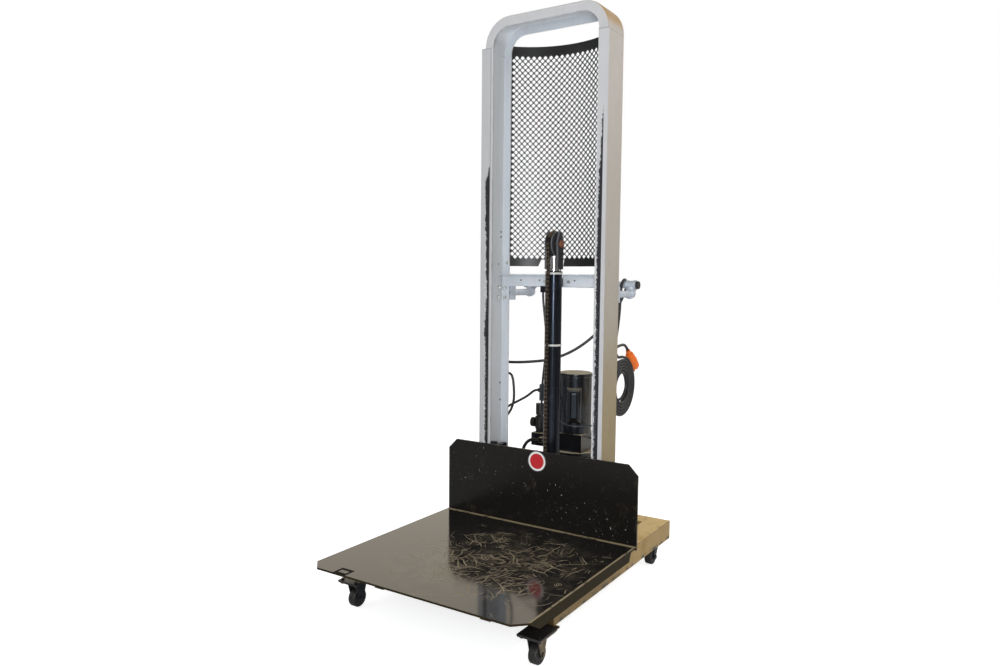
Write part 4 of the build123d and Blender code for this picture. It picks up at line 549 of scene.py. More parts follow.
def platform_finish(colour, bare):
    """Black deck paint, scraped in a broad patch, with drag marks, a worn rim, a black outlined mark, and
    painted warm light on its upright faces.
    """
    coat = Finish("platform_paint", colour)
    x, y, _ = coat.at()
    up = coat.step(coat.facing()["Z"], 0.6, 0.9)
    upright = coat.minus(1, up)
    across = coat.math("DIVIDE", coat.minus(x, SCRAPED_X), SCRAPED_WIDTH)
    along = coat.math("DIVIDE", coat.minus(y, SCRAPED_Y), SCRAPED_DEPTH)
    away = coat.plus(coat.length(across, along), coat.times(coat.noise(9, 4), 0.8))
    patch = coat.step(away, 1.75, 0.8)
    share = coat.times(coat.math("POWER", patch, 1.5), 0.34)
    marks = [strokes(coat, *kind, share) for kind in DRAG_MARKS]
    chips = coat.times(coat.step(coat.noise(70, 7, 0.8, None, 2.2), 0.65, 0.7), patch)
    haze = coat.times(coat.patches(20, 0.42, 0.7, 6), 0.3, patch)
    flecks = coat.times(coat.patches(75, 0.68, 0.72), 0.5)
    edges = coat.most(coat.step(y, 0.124, 0.129), coat.step(x, 0.3225, 0.3255))
    rim = coat.times(edges, coat.patches(30, 0.3, 0.5))
    worn = coat.times(coat.most(*marks, chips, haze, flecks, rim), up)
    coat.lay(worn, coat.mix(rim, bare, (0.26, 0.21, 0.13)), 0.9)
    # Painted light: upright faces are made browner than the black top, as warm light falls on them
    coat.lay(upright, (0.02, 0.0145, 0.005))

    def oblong(half_width, half_depth):
        """Mask of an oblong round the middle of the outlined mark."""
        return coat.times(
            coat.within(x, DECK_MARK_X, half_width, 0.001), coat.within(y, DECK_MARK_Y, half_depth, 0.001)
        )

    outline = coat.times(coat.minus(oblong(0.022, 0.019), oblong(0.0135, 0.008)), up)
    coat.lay(outline, (0.004, 0.003, 0.003))
    dull = coat.most(worn, coat.times(upright, 0.7))
    sheen = coat.minus(coat.step(worn, 0, 1, 1.7, 1.2), coat.times(outline, 0.65))
    sheen = coat.minus(sheen, coat.times(upright, 0.56))
    coat.gloss(dull, 0.09, 0.55).set(IOR=sheen)
    height = coat.minus(coat.times(coat.noise(9, 2), 0.4), coat.times(worn, 0.25))
    return coat.bump(height, 0.1, 0.001, 0.0015)


def back_plate_finish(colour):
    """Black plate paint with pale specks and faint brown swirls."""
    coat = Finish("back_plate_paint", colour)
    x, _, z = coat.at()
    brown = coat.patches(22, 0.52, 0.75, 6, 0.75)
    coat.lay(brown, (0.04, 0.028, 0.02), 0.5)
    band = coat.within(coat.plus(z, coat.times(x, 0.28)), 0.26, 0.09, 0.07)
    upper_left = coat.times(coat.step(x, -0.1, -0.25), coat.step(z, 0.2, 0.3))
    specks = coat.times(coat.patches(130, 0.695, 0.73, 3, 0.6), coat.most(band, upper_left))
    coat.lay(specks, (0.45, 0.42, 0.4))
    coat.lay(coat.chipped(0.002, 50, 0.45, 0.6), (0.16, 0.12, 0.08))
    coat.gloss(brown, 0.26, 0.42).set(IOR=1.33)
    return coat.bump(coat.noise(12, 2), 0.1, 0.001, 0.0012)


def dusty_black_finish(name, colour, dust, amount):
    """Gloss black with dust lying on what faces up, and a beige haze on what faces right: dust together
    with a painted reflection of warm light.
    """
    coat = Finish(name, colour)
    right, _, up = coat.facing()
    lying = coat.times(coat.step(up, 0.45, 0.9), coat.patches(40, 0.2, 0.55, 6))
    # Painted reflection: beige on what faces right stands for warm light reflected there, mixed with dust
    haze = coat.times(coat.step(right, 0.72, 1.0), coat.step(coat.noise(25, 5), 0.2, 0.7, 0.06, 0.16))
    smear = coat.times(coat.patches(16, 0.55, 0.8, 6), 0.05)
    grime = coat.times(coat.most(lying, haze, smear), amount)
    coat.lay(grime, dust)
    coat.lay(coat.chipped(0.0018, 60, 0.4, 0.5, 5, SOFT), (0.4, 0.33, 0.2), 0.8)
    coat.gloss(grime, 0.2, 0.8).set(Specular_Tint=(0.7, 0.82, 1.0))
    return coat.bump(coat.noise(300, 3), 0.06, 0.0005, 0.001)


def rust_finish(name, colour, dark):
    """Rusty steel, paler along the edges."""
    coat = Finish(name, dark)
    patch = coat.patches(70, 0.38, 0.62, 7, 0.75)
    coat.lay(patch, colour)
    grain = coat.patches(420, 0.4, 0.7, 4)
    coat.lay(grain, shade(colour, 1.9), 0.45)
    coat.lay(coat.edge(0.0006), shade(colour, 2.2), 0.5)
    coat.gloss(patch, 0.6, 0.75).set(Metallic=0.25)
    return coat.bump(coat.noise(500, 5, GRAINY), 0.35, 0.0005, 0.0004)


def chain_finish(colour, dark):
    """Rusty chain: brown on the outer rims of its plates, black with oil between them."""
    coat = Finish("chain_rust", dark)
    y = coat.at()["Y"]
    front = coat.math("ABSOLUTE", coat.minus(y, CYLINDER_Y - CHAIN_RADIUS))
    rear = coat.math("ABSOLUTE", coat.minus(y, CYLINDER_Y + CHAIN_RADIUS))
    rims = coat.step(coat.math("MINIMUM", front, rear), 0.0029, 0.0045)
    patch = coat.patches(70, 0.3, 0.7, 7, 0.75)
    grain = coat.times(coat.patches(420, 0.4, 0.7, 4), 0.35)
    brown = coat.mix(patch, shade(colour, 0.55), shade(colour, 1.3))
    coat.lay(rims, coat.mix(grain, brown, shade(colour, 1.9)))
    coat.gloss(patch, 0.42, 0.7).set(Metallic=0.2)
    return coat.bump(coat.noise(500, 5, GRAINY), 0.35, 0.0005, 0.0004)


def metal_finish(name, colour, rough, dull):
    """Plated or machined metal with a spangle and dull patches."""
    coat = Finish(name, colour)
    cells = coat.node("TexVoronoi", {"Vector": coat.coords, "Scale": 160})
    spangle = coat.step(cells.outputs["Distance"], 0.2, 0.9)
    coat.lay(spangle, shade(colour, 0.7), 0.25)
    patch = coat.patches(30, 0.45, 0.75, 6)
    coat.lay(patch, dull, 0.6)
    coat.gloss(patch, rough, rough + 0.2).set(Metallic=0.85)
    return coat.bump(coat.noise(380, 4), 0.08, 0.0004, 0.0006)


def sheave_finish():
    """Oiled sheave with a brighter bluish rim."""
    coat = metal_finish("oiled_sheave", (0.05, 0.05, 0.055), 0.4, (0.02, 0.02, 0.022))
    low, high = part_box("sheave")
    middle = (low + high) / 2
    rim = (high.z - low.z) / 2
    _, y, z = coat.at()
    away = coat.length(coat.minus(y, middle.y), coat.minus(z, middle.z))
    coat.lay(coat.step(away, rim - 0.0045, rim - 0.003), (0.16, 0.165, 0.185))
    return coat.set(Metallic=0.4)


def bolt_finish():
    """Zinc bolts, blackened at the front casters."""
    coat = metal_finish("bolt_zinc", ZINC, 0.34, DULL_ZINC)
    dark = coat.mix(coat.patches(150, 0.4, 0.7, 4, SOFT), (0.03, 0.03, 0.035), (0.09, 0.07, 0.05))
    return coat.lay(coat.step(coat.at()["Y"], -0.1, -0.2), dark)


def caster_finish():
    """Black caster paint, tan on the right faces of the outer right leg: painted warm light mixed with
    dirt.
    """
    coat = paint("caster_black", (0.012, 0.012, 0.014), (0.07, 0.05, 0.035), 0.33, (0.13, 0.1, 0.07))
    # Painted light and dirt: what faces right on the right leg is tinted tan
    right = coat.times(coat.step(coat.at()["X"], 0.294, 0.297), coat.step(coat.facing()["X"], 0.4, 0.7))
    dirt = coat.mix(coat.patches(70, 0.35, 0.65, 5, SOFT), (0.15, 0.105, 0.045), (0.06, 0.04, 0.02))
    coat.lay(right, dirt)
    return coat.set(Specular_Tint=(0.75, 0.85, 1.0))


def fork_finish():
    """Dark fork paint with a painted bluish highlight on what faces the front."""
    coat = paint("fork_paint", (0.02, 0.02, 0.022), (0.07, 0.045, 0.03), 0.36, (0.1, 0.08, 0.06))
    # Painted highlight: what faces the front is made bluish grey, as the flash lights it
    bare = coat.mix(coat.patches(60, 0.4, 0.7, 5, SOFT), (0.1, 0.105, 0.125), (0.07, 0.06, 0.06))
    return coat.lay(coat.step(coat.facing()["Y"], -0.6, -0.9), bare)


def rubber_finish(name, colour, rough):
    """Rubber with dusty wear and a fine grain."""
    coat = Finish(name, colour)
    dusty = coat.patches(45, 0.5, 0.8, 6)
    coat.lay(dusty, (0.08, 0.075, 0.065), 0.35)
    coat.gloss(dusty, rough, rough + 0.25)
    return coat.bump(coat.noise(1200, 3), 0.15, 0.0003)


def plastic_finish(name, colour, rough):
    """Moulded plastic with slight tone and gloss changes."""
    coat = Finish(name, colour)
    coat.lay(coat.patches(35, 0.35, 0.75, 5, SOFT), shade(colour, 0.82))
    grime = coat.patches(90, 0.6, 0.75, 6)
    coat.lay(grime, shade(colour, 0.4), 0.35)
    coat.set(Roughness=coat.step(coat.noise(60, 4), 0.3, 0.7, rough - 0.06, rough + 0.1))
    return coat.bump(coat.noise(1500, 2), 0.1, 0.0002, 0.0006)


def disc_finish(colour, radius):
    """Red disc with a white rim inside a black edge."""
    coat = Finish("disc_print", colour)
    coat.lay(coat.patches(240, 0.4, 0.7, 4, SOFT), shade(colour, 0.8))
    x, y, _ = coat.at()
    share = coat.math("DIVIDE", coat.length(x, y), radius)
    coat.lay(coat.step(share, 0.69, 0.71), (0.72, 0.72, 0.7))
    coat.lay(coat.step(share, 0.865, 0.885), (0.003, 0.003, 0.003))
    coat.set(Roughness=0.35)
    return coat.bump(coat.noise(600, 2), 0.05, 0.0002)


class STACKER_OT_finishes(bpy.types.Operator):
    """Make the finishes and give every CAD node its own"""

    bl_idname = "stacker.finishes"
    bl_label = "Finishes"

    def execute(self, context):
        paints = context.scene.stacker_paint
        mast_finish(paints.mast).on(
            "mast_left_channel", "mast_right_channel", "mast_top_bow", "mast_cross_member"
        )
        track_finish(paints.mast).on("mast_track_strips")
        base_finish(paints.base).on("base_side_rails", "base_cross_rails")
        platform_finish(paints.platform, paints.scratch).on("platform_deck")
        back_plate_finish(paints.platform).on("back_plate", "carriage_bars")
        black = paint("gloss_black_paint", paints.machine, (0.03, 0.028, 0.025), 0.2, (0.1, 0.09, 0.08))
        black.set(Specular_Tint=(0.6, 0.74, 1.0), IOR=1.4).on("cylinder_barrel", "cylinder_gland")
        power_unit = dusty_black_finish("power_unit_paint", paints.machine, paints.dust, 1.0)
        power_unit.on("oil_tank", "motor_shell", "motor_end_cap", "pump_block")
        dusty_black_finish("capacitor_paint", paints.machine, paints.dust, 0.3).on("capacitor_cover")
        terminal_paint = (0.035, 0.04, 0.05), (0.09, 0.085, 0.08), 0.4, (0.14, 0.13, 0.12)
        paint("terminal_paint", *terminal_paint).on("terminal_box")
        arm_paint = (0.03, 0.012, 0.01), (0.09, 0.04, 0.03), 0.55, (0.12, 0.05, 0.035)
        paint("arm_paint", *arm_paint).on("platform_arms")
        sheave_finish().on("sheave")
        fork_finish().on("sheave_fork")
        bolt_finish().on("frame_bolts")
        caster_finish().on("caster_plates", "front_caster_forks", "rear_fork_left", "rear_fork_right")
        rust_finish("pin_rust", (0.26, 0.1, 0.05), (0.1, 0.035, 0.02)).on("sheave_pin")
        pipe = metal_finish("galvanised_zinc", paints.galvanised, 0.45, (0.36, 0.36, 0.37))
        pipe.set(Metallic=0.35).on("handle_brackets", "handle_pipes", "handle_fittings")
        oiled = ("chain_base_anchor", "carriage_chain_anchor", "guide_roller_left", "guide_roller_right")
        for name, colour, rough, dull, *nodes in (
            ("oiled_steel", (0.06, 0.06, 0.062), 0.38, (0.025, 0.022, 0.02), *oiled),
            ("zinc_plate", ZINC, 0.32, DULL_ZINC, "cylinder_clamp"),
            ("ram_chrome", (0.72, 0.72, 0.74), 0.12, (0.5, 0.48, 0.45), "ram_rod"),
            ("cast_alloy", (0.045, 0.044, 0.043), 0.5, (0.02, 0.019, 0.018), "lowering_valve"),
            ("copper_winding", (0.4, 0.16, 0.07), 0.35, (0.15, 0.07, 0.04), "motor_rotor"),
        ):
            metal_finish(name, colour, rough, dull).on(*nodes)
        wheel = rubber_finish("wheel_rubber", (0.012, 0.011, 0.01), 0.5)
        wheel.on("front_wheel_left", "front_wheel_right", "rear_wheel_left", "rear_wheel_right")
        for name, colour, rough, *nodes in (
            ("orange_moulding", paints.plug, 0.38, "power_plug"),
            ("white_tape", (0.62, 0.61, 0.58), 0.5, "cylinder_bands"),
            ("black_moulding", (0.018, 0.018, 0.019), 0.42, "push_bar_caps", "cable_glands"),
            ("grey_moulding", (0.16, 0.16, 0.165), 0.45, "control_box", "control_panel"),
            ("nylon", (0.62, 0.58, 0.48), 0.5, "wear_pads"),
            ("green_button", (0.03, 0.25, 0.07), 0.3, "up_button"),
            ("red_button", (0.5, 0.02, 0.015), 0.3, "down_button"),
        ):
            plastic_finish(name, colour, rough).on(*nodes)
        # Finishes of the pieces that the other operators make
        paint("mesh_paint", (0.01, 0.01, 0.011), (0.05, 0.045, 0.04), 0.5)
        chain_finish(paints.rust, (0.012, 0.009, 0.007))
        rubber_finish("cord_rubber", paints.rubber, 0.42)
        rubber_finish("vent_rubber", (0.03, 0.036, 0.045), 0.4)
        disc_finish(paints.disc, context.scene.stacker_sizes.disc)
        return {"FINISHED"}


def into_scene(name, data, material):
    """New object of some data in the scene, with a material by its name."""
    obj = bpy.data.objects.new(name, data)
    bpy.context.scene.collection.objects.link(obj)
    if material:
        data.materials.append(bpy.data.materials[material])
    return obj


def mesh_object(name, shape, material, smooth=False):
    """New object of a finished bmesh."""
    bmesh.ops.recalc_face_normals(shape, faces=shape.faces)
    mesh = bpy.data.meshes.new(name)
    shape.to_mesh(mesh)
    shape.free()
    for polygon in mesh.polygons:
        polygon.use_smooth = smooth
    return into_scene(name, mesh, material)


def loft(shape, loops):
    """Closed solid over loops of corners, each joined to the next."""
    rings = [[shape.verts.new(corner) for corner in loop] for loop in loops]
    count = len(rings[0])
    for first, second in zip(rings, rings[1:]):
        for k in range(count):
            shape.faces.new([first[k], first[(k + 1) % count], second[(k + 1) % count], second[k]])
    shape.faces.new(rings[0][::-1])
    shape.faces.new(rings[-1])


def circle(radius, sides):
    """Corners of a regular outline about the origin, as pairs."""
    turns = [2 * pi * k / sides for k in range(sides)]
    return [(radius * cos(turn), radius * sin(turn)) for turn in turns]


class STACKER_OT_stage(bpy.types.Operator):
    """Set the camera at the photograph's angle, the pale floor and the soft lamps"""

    bl_idname = "stacker.stage"
    bl_label = "Stage"

    def execute(self, context):
        settings = context.scene.stacker_stage
        scene = context.scene
        scene.view_settings.view_transform = "Standard"
        yaw, pitch, roll = radians(CAMERA_YAW), radians(CAMERA_PITCH), radians(CAMERA_ROLL)
        ahead = Vector((-sin(yaw) * cos(pitch), cos(yaw) * cos(pitch), -sin(pitch)))
        right = Vector((cos(yaw), sin(yaw), 0))
        up = right.cross(ahead)
        right, up = cos(roll) * right + sin(roll) * up, cos(roll) * up - sin(roll) * right
        data = bpy.data.cameras.new("camera")
        data.lens = settings.lens
        data.sensor_width = SENSOR_WIDTH
        data.clip_start = NEAREST
        scene.camera = into_scene("camera", data, None)
        turn = Matrix((right, up, -ahead)).transposed().to_4x4()
        scene.camera.matrix_world = Matrix.Translation(CAMERA_PLACE) @ turn
        self.floor(settings)
        self.world(scene, settings)
        for name, spot, aim, size, power, colour in LAMPS:
            lamp = bpy.data.lights.new(name, "AREA")
            lamp.shape = "RECTANGLE"
            lamp.size, lamp.size_y = size
            lamp.energy = power
            lamp.color = colour
            obj = into_scene(name, lamp, None)
            obj.location = spot
            obj.rotation_euler = (Vector(aim) - Vector(spot)).to_track_quat("-Z", "Y").to_euler()
        return {"FINISHED"}

    def floor(self, settings):
        """Wide floor that shows white with the object's soft shadow."""
        coat = Finish("floor_pale", settings.floor)
        camera_ray = coat.nodes.new("ShaderNodeLightPath").outputs["Is Camera Ray"]
        coat.set(Base_Color=coat.tone, Roughness=0.9, Emission_Color=WHITE)
        coat.set(Emission_Strength=coat.times(camera_ray, settings.glow))
        shape = bmesh.new()
        bmesh.ops.create_grid(shape, x_segments=2, y_segments=2, size=FLOOR_SIZE)
        floor = mesh_object("floor", shape, "floor_pale")

    def world(self, scene, settings):
        """White for the camera, a warm glow behind the object for reflections, soft light for the rest."""
        world = bpy.data.worlds.new("surroundings")
        scene.world = world
        world.use_nodes = True
        graph = Graph(world.node_tree)
        rays = graph.nodes.new("ShaderNodeLightPath").outputs
        glossy = rays["Is Glossy Ray"]
        way = graph.nodes.new("ShaderNodeTexCoord").outputs["Generated"]
        heading = graph.node("VectorMath", {0: way, 1: BEHIND_OBJECT}, operation="DOT_PRODUCT")
        mirrored = graph.ramp(heading.outputs["Value"], 0.5, 0.8, settings.before, settings.behind)
        level = graph.ramp(glossy, 0, 1, settings.ambient, mirrored)
        clear = graph.most(rays["Is Camera Ray"], rays["Is Transmission Ray"])
        background = graph.nodes["Background"].inputs
        graph.feed(background["Strength"], graph.ramp(clear, 0, 1, level, 1))
        graph.feed(background["Color"], graph.mix(glossy, WHITE, settings.mirror))


def plug_start():
    """Start and direction of the plug, in millimetres in the coil's plane."""
    reach = COIL_RADIUS + CORD_WIDTH / 2 + PLUG_OFFSET
    turn = radians(PLUG_ANGLE)
    back = (PLUG_LENGTH + PLUG_BOOT_LENGTH) / 2
    y = COIL_Y + reach * sin(turn) - back * cos(turn)
    z = COIL_Z + reach * cos(turn) + back * sin(turn)
    return y, z, (cos(turn), -sin(turn))


def coil_route():
    """Turns of the coil: in on the first layer, out on the second, then over to the plug."""
    steps = 2 * COIL_TURNS
    outer_x = COIL_X - COIL_STEP
    radii = [COIL_RADIUS - index * COIL_STEP / 2 for index in range(steps + 2)]
    radii += [radii[-1] + COIL_STEP * (1 + index / 2) for index in range(steps - 1)]
    radii[-1] = COIL_RADIUS + COIL_LAST_LIFT
    points = []
    for index in range(len(radii) - 1):
        first, last = radii[index], radii[index + 1]
        sign = (-1) ** index
        radius = sign * (first + last) / 2
        middle = COIL_Z + sign * (first - last) / 2
        x_first = COIL_X if index <= steps else outer_x
        x_last = COIL_X if index + 1 <= steps else outer_x
        for part in range(COIL_POINTS):
            share = part / COIL_POINTS
            x = x_first + (x_last - x_first) * share
            points.append((x, COIL_Y + radius * sin(pi * share), middle + radius * cos(pi * share)))
    y, z, along = plug_start()
    top = COIL_Z + radii[-1]
    points.append((outer_x, COIL_Y, top))
    points.append((outer_x, y - (top - z) * along[0] / -along[1], top))
    points.append((outer_x, y, z))
    return points


def cord_curve(name, route, diameter, material):
    """Round cord along a smooth spline through the route."""
    curve = bpy.data.curves.new(name, "CURVE")
    curve.dimensions = "3D"
    curve.bevel_depth = diameter / 2
    curve.bevel_resolution = 4
    curve.resolution_u = 6
    curve.use_fill_caps = True
    spline = curve.splines.new("NURBS")
    spline.points.add(len(route) - 1)
    for point, where in zip(spline.points, route):
        point.co = (*place(*where), 1)
    spline.order_u = 3
    spline.use_endpoint_u = True
    return into_scene(name, curve, material)


class STACKER_OT_cords(bpy.types.Operator):
    """Lay the power cord with its coil, the leads and the hoses"""

    bl_idname = "stacker.cords"
    bl_label = "Cords and hoses"

    def execute(self, context):
        sizes = context.scene.stacker_sizes
        rubber, bluish = "cord_rubber", "vent_rubber"
        power = cord_curve("power_cord_line", POWER_CORD_ROUTE + coil_route(), sizes.cord, rubber)
        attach(power, "frame")
        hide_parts("power_cord", "power_cord_coil")
        for name, route, diameter, node, length, material in (
            ("motor_lead_line", MOTOR_LEAD_ROUTE, sizes.lead, "motor_lead", 0.385, rubber),
            ("capacitor_lead_line", CAPACITOR_LEAD_ROUTE, sizes.thin_lead, "capacitor_lead", 0.309, bluish),
            ("vent_hose_line", VENT_ROUTE, sizes.vent, "vent_hose", 0.500, bluish),
            ("pressure_hose_line", PRESSURE_HOSE_ROUTE, sizes.hose, "pressure_hose", 0.341, rubber),
        ):
            line = cord_curve(name, route, diameter, material)
            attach(line, "frame")
            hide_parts(node)
        return {"FINISHED"}


def sheet_point(across, z, depth):
    """Point of the mesh sheet: across is measured along its curve from the middle."""
    middle_y = MAST_REAR_Y + SHEET_BOW - SHEET_RADIUS
    angle = across / SHEET_RADIUS
    return Vector(((SHEET_RADIUS + depth) * sin(angle), middle_y + (SHEET_RADIUS + depth) * cos(angle), z))


class STACKER_OT_mesh_guard(bpy.types.Operator):
    """Cut the black mesh guard behind the mast, with its solid bands"""

    bl_idname = "stacker.mesh_guard"
    bl_label = "Mesh guard"

    def execute(self, context):
        sizes = context.scene.stacker_sizes
        heights = [corner.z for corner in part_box("mesh_guard")]
        low, high = heights[0] + LOWER_BAND, heights[1] - UPPER_BAND
        arc = SHEET_RADIUS * asin(SHEET_HALF / SHEET_RADIUS)
        columns = round(2 * arc / sizes.mesh_pitch)
        rows = round((high - low) / sizes.mesh_rise)
        across, rise = arc / columns, (high - low) / 2 / rows
        shape = bmesh.new()
        grid = {}

        def corner(column, row):
            """Corner of the diamonds, made when it is first needed."""
            if (column, row) not in grid:
                where = sheet_point(-arc + column * across, low + row * rise, SHEET_DEPTH)
                grid[column, row] = shape.verts.new(where)
            return grid[column, row]

        shrink = 1 - sizes.mesh_strand * hypot(across, rise) / (2 * across * rise)
        for row in range(2 * rows + 1):
            for column in range(2 * columns + 1):
                if (column + row) % 2 == 0:
                    continue
                ring = [(column, row - 1), (column + 1, row), (column, row + 1), (column - 1, row)]
                inside = [spot for spot in ring if 0 <= spot[0] <= 2 * columns and 0 <= spot[1] <= 2 * rows]
                corners = [corner(*spot) for spot in inside]
                if len(inside) == 4:
                    self.hole(shape, corners, shrink)
                else:
                    shape.faces.new(corners)
        bmesh.ops.recalc_face_normals(shape, faces=shape.faces)
        bmesh.ops.solidify(shape, geom=shape.faces[:], thickness=sizes.mesh_sheet)
        lower = ((-arc, GAP_LEFT, 0, GAP_LEFT_LEAN), (GAP_RIGHT, arc, GAP_RIGHT_LEAN, 0))
        self.band(shape, arc, heights[0], low, lower)
        self.band(shape, arc, high, heights[1], ((-arc, arc, 0, 0),))
        for side in (-1, 1):
            self.margin(shape, side, heights)
        guard = mesh_object("mesh_guard_sheet", shape, "mesh_paint")
        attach(guard, "frame")
        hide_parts("mesh_guard")
        return {"FINISHED"}

    def margin(self, shape, side, heights):
        """Flat edge of the sheet behind the channel's flange."""
        edge = abs(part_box("mesh_guard")[0].x)
        near, far = MAST_REAR_Y, MAST_REAR_Y + BAND_THICK
        outline = ((SHEET_HALF, near), (edge, near), (edge, far), (SHEET_HALF, far))
        loft(shape, [[(side * x, y, z) for x, y in outline] for z in heights])

    def hole(self, shape, ring, shrink):
        """Eight-sided hole in a diamond of the sheet, with the strands left round it."""
        middle = sum((vert.co for vert in ring), Vector()) / 4
        points = [middle + (vert.co - middle) * shrink for vert in ring]
        before = [shape.verts.new(points[k].lerp(points[k - 1], HOLE_CUT)) for k in range(4)]
        after = [shape.verts.new(points[k].lerp(points[(k + 1) % 4], HOLE_CUT)) for k in range(4)]
        for k in range(4):
            other = (k + 1) % 4
            shape.faces.new([ring[k], before[k], after[k]])
            shape.faces.new([ring[k], after[k], before[other], ring[other]])

    def band(self, shape, arc, bottom, top, stretches):
        """Solid strip along the sheet in stretches, whose ends may lean."""
        for first, last, lean_first, lean_last in stretches:
            count = max(2, round(BAND_STEPS * (last - first) / (2 * arc)))
            loops = []
            for index in range(count + 1):
                share = index / count
                foot = first + (last - first) * share
                head = foot + lean_first * (1 - share) + lean_last * share
                loops.append([
                    sheet_point(foot, bottom, 0.0), sheet_point(head, top, 0.0),
                    sheet_point(head, top, BAND_THICK), sheet_point(foot, bottom, BAND_THICK),
                ])
            loft(shape, loops)


def link_template(outer):
    """Mesh of one chain link along Z from the origin: two rounded plates with pins or bushes."""
    shape = bmesh.new()
    inside = LINK_GAP + LINK_PLATE + LINK_PLAY if outer else LINK_GAP
    for side in (-1, 1):
        low, high = sorted((side * inside, side * (inside + LINK_PLATE)))
        stadium(shape, low, high)
    for end in (0, CHAIN_PITCH):
        if outer:
            rod(shape, PIN_RADIUS, inside + 1.5 * LINK_PLATE, end, PIN_SIDES)
        else:
            rod(shape, BUSH_RADIUS, inside + 0.5 * LINK_PLATE, end, BUSH_SIDES)
    mesh = bpy.data.meshes.new("link")
    shape.to_mesh(mesh)
    shape.free()
    return mesh


def stadium(shape, low, high):
    """Link plate with round ends and a waist, chamfered a little at its rim."""
    middle = CHAIN_PITCH / 2
    steps = 10
    outline = []
    for end, start in ((CHAIN_PITCH, 0), (0, pi)):
        for index in range(steps + 1):
            turn = start - LINK_WRAP + (pi + 2 * LINK_WRAP) * index / steps
            outline.append((LINK_RADIUS * cos(turn), end + LINK_RADIUS * sin(turn)))
        outline.append((LINK_RADIUS * LINK_WAIST * cos(start + pi), middle))
    chamfer = (high - low) * LINK_CHAMFER
    levels = ((low, LINK_RIM), (low + chamfer, 1), (high - chamfer, 1), (high, LINK_RIM))
    loops = [[(x, y * share, middle + (z - middle) * share) for y, z in outline] for x, share in levels]
    loft(shape, loops)


def rod(shape, radius, reach, z, sides):
    """Pin or bush across a link, with rounded ends."""
    shoulder = reach - radius * ROD_SHOULDER
    levels = ((-reach, ROD_END), (-shoulder, 1), (shoulder, 1), (reach, ROD_END))
    loft(shape, [[(x, y, z + up) for y, up in circle(radius * share, sides)] for x, share in levels])


class STACKER_OT_chain(bpy.types.Operator):
    """Link the lift chain: the run to the carriage, the bend over the sheave and the run to the base"""

    bl_idname = "stacker.chain"
    bl_label = "Lift chain"

    def execute(self, context):
        front_y, rear_y = CYLINDER_Y - CHAIN_RADIUS, CYLINDER_Y + CHAIN_RADIUS
        front_z = SHEAVE_Z - FRONT_LINKS * CHAIN_PITCH
        pins = [(front_y, front_z + k * CHAIN_PITCH) for k in range(FRONT_LINKS)]
        for k in range(SHEAVE_LINKS + 1):
            turn = pi - pi * k / SHEAVE_LINKS
            pins.append((CYLINDER_Y + CHAIN_RADIUS * cos(turn), SHEAVE_Z + CHAIN_RADIUS * sin(turn)))
        pins += [(rear_y, SHEAVE_Z - k * CHAIN_PITCH) for k in range(1, REAR_LINKS + 1)]
        bend = FRONT_LINKS + SHEAVE_LINKS
        foot = self.run("chain_foot", pins, 0, FOOT_LINKS)
        front = self.run("chain_front", pins, FOOT_LINKS, FRONT_LINKS)
        over = self.run("chain_over_sheave", pins, FRONT_LINKS, bend)
        rear = self.run("chain_rear", pins, bend, bend + REAR_LINKS)
        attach(foot, "carriage")
        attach(front, "ram")
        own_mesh(front)
        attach(over, "ram")
        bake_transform(rear)
        for piece in (foot, front, over):
            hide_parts("chain_front_run")
        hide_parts("chain_rear_run")
        return {"FINISHED"}

    def run(self, name, pins, first, last):
        """Links from the first to the last pin as one piece."""
        kinds = (link_template(True), link_template(False))
        shape = bmesh.new()
        for index in range(first, last):
            (y, z), (next_y, next_z) = pins[index], pins[index + 1]
            before = len(shape.verts)
            shape.from_mesh(kinds[index % 2])
            shape.verts.ensure_lookup_table()
            lean = atan2(y - next_y, next_z - z)
            place_link = Matrix.Translation((0, y, z)) @ Matrix.Rotation(lean, 4, "X")
            bmesh.ops.transform(shape, matrix=place_link, verts=shape.verts[before:])
        return mesh_object(name, shape, "chain_rust")


class STACKER_OT_disc(bpy.types.Operator):
    """Stick the plain red disc on the back plate"""

    bl_idname = "stacker.disc"
    bl_label = "Back plate disc"

    def execute(self, context):
        radius = context.scene.stacker_sizes.disc
        shape = bmesh.new()
        levels = ((0, 1.0), (DISC_THICK, DISC_TOP))
        loft(shape, [[(x, y, z) for x, y in circle(radius * share, DISC_SIDES)] for z, share in levels])
        disc = mesh_object("back_plate_disc", shape, "disc_print")
        disc.matrix_world = Matrix.Translation(place(*DISC_PLACE)) @ Matrix.Rotation(pi / 2, 4, "X")
        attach(disc, "carriage")
        return {"FINISHED"}


def button(shape, middle, out, radius, height):
    """Domed head at a place, standing out along one direction."""
    turn = Vector((0, 0, 1)).rotation_difference(Vector(out)).to_matrix()
    loops = []
    for share, rise in HEAD_PROFILE:
        ring = circle(radius * share, HEAD_SIDES)
        loops.append([Vector(middle) + turn @ Vector((x, y, height * rise)) for x, y in ring])
    loft(shape, loops)


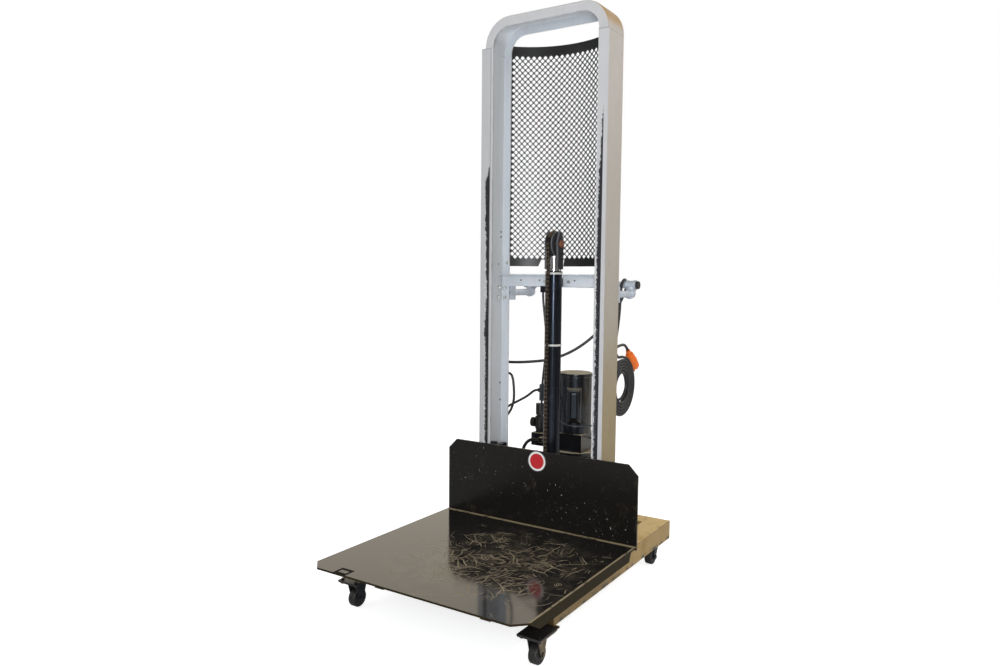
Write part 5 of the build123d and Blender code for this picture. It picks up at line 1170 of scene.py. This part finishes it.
class STACKER_OT_fittings(bpy.types.Operator):
    """Set the pan screws of the left channel and the dark plugs in the cross member's holes"""

    bl_idname = "stacker.fittings"
    bl_label = "Screws and plugs"

    def execute(self, context):
        shape = bmesh.new()
        for where, out in SCREWS:
            button(shape, where, out, SCREW_RADIUS, SCREW_HEIGHT)
        screws = mesh_object("channel_screws", shape, "zinc_plate", True)
        shape = bmesh.new()
        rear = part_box("mast_cross_member")[1].y
        for x in HOLE_PLUGS_X:
            where = (x, rear - HOLE_PLUG_DEPTH, HOLE_PLUG_Z)
            button(shape, where, (0, -1, 0), HOLE_PLUG_RADIUS, HOLE_PLUG_HEIGHT)
        plugs = mesh_object("hole_plugs", shape, "black_moulding", True)
        for piece, slot in ((screws, "zinc_steel"), (plugs, "black_plastic")):
            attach(piece, "frame")
        return {"FINISHED"}


class STACKER_PT_panel(bpy.types.Panel):
    """Sidebar panel with the settings and the operators of the stacker's looks"""

    bl_idname = "STACKER_PT_panel"
    bl_label = "Platform stacker"
    bl_space_type = "VIEW_3D"
    bl_region_type = "UI"
    bl_category = "Stacker"

    def draw(self, context):
        layout = self.layout
        for name in GROUPS:
            group = getattr(context.scene, name)
            column = layout.column(align=True)
            for setting in group.__annotations__:
                column.prop(group, setting)
        column = layout.column(align=True)
        for operator in OPERATORS:
            column.operator(operator.bl_idname)


GROUPS = {"stacker_paint": StackerPaint, "stacker_sizes": StackerSizes, "stacker_stage": StackerStage}
OPERATORS = (
    STACKER_OT_stage,
    STACKER_OT_finishes,
    STACKER_OT_cords,
    STACKER_OT_mesh_guard,
    STACKER_OT_chain,
    STACKER_OT_disc,
    STACKER_OT_fittings,
)


def register():
    for name, group in GROUPS.items():
        bpy.utils.register_class(group)
        setattr(bpy.types.Scene, name, bpy.props.PointerProperty(type=group))
    for operator in OPERATORS:
        bpy.utils.register_class(operator)
    bpy.utils.register_class(STACKER_PT_panel)


def unregister():
    bpy.utils.unregister_class(STACKER_PT_panel)
    for operator in reversed(OPERATORS):
        bpy.utils.unregister_class(operator)
    for name, group in reversed(GROUPS.items()):
        delattr(bpy.types.Scene, name)
        bpy.utils.unregister_class(group)


def main():
    register()
    for operator in OPERATORS:
        category, name = operator.bl_idname.split(".")
        getattr(getattr(bpy.ops, category), name)()


if __name__ == "__main__":
    main()
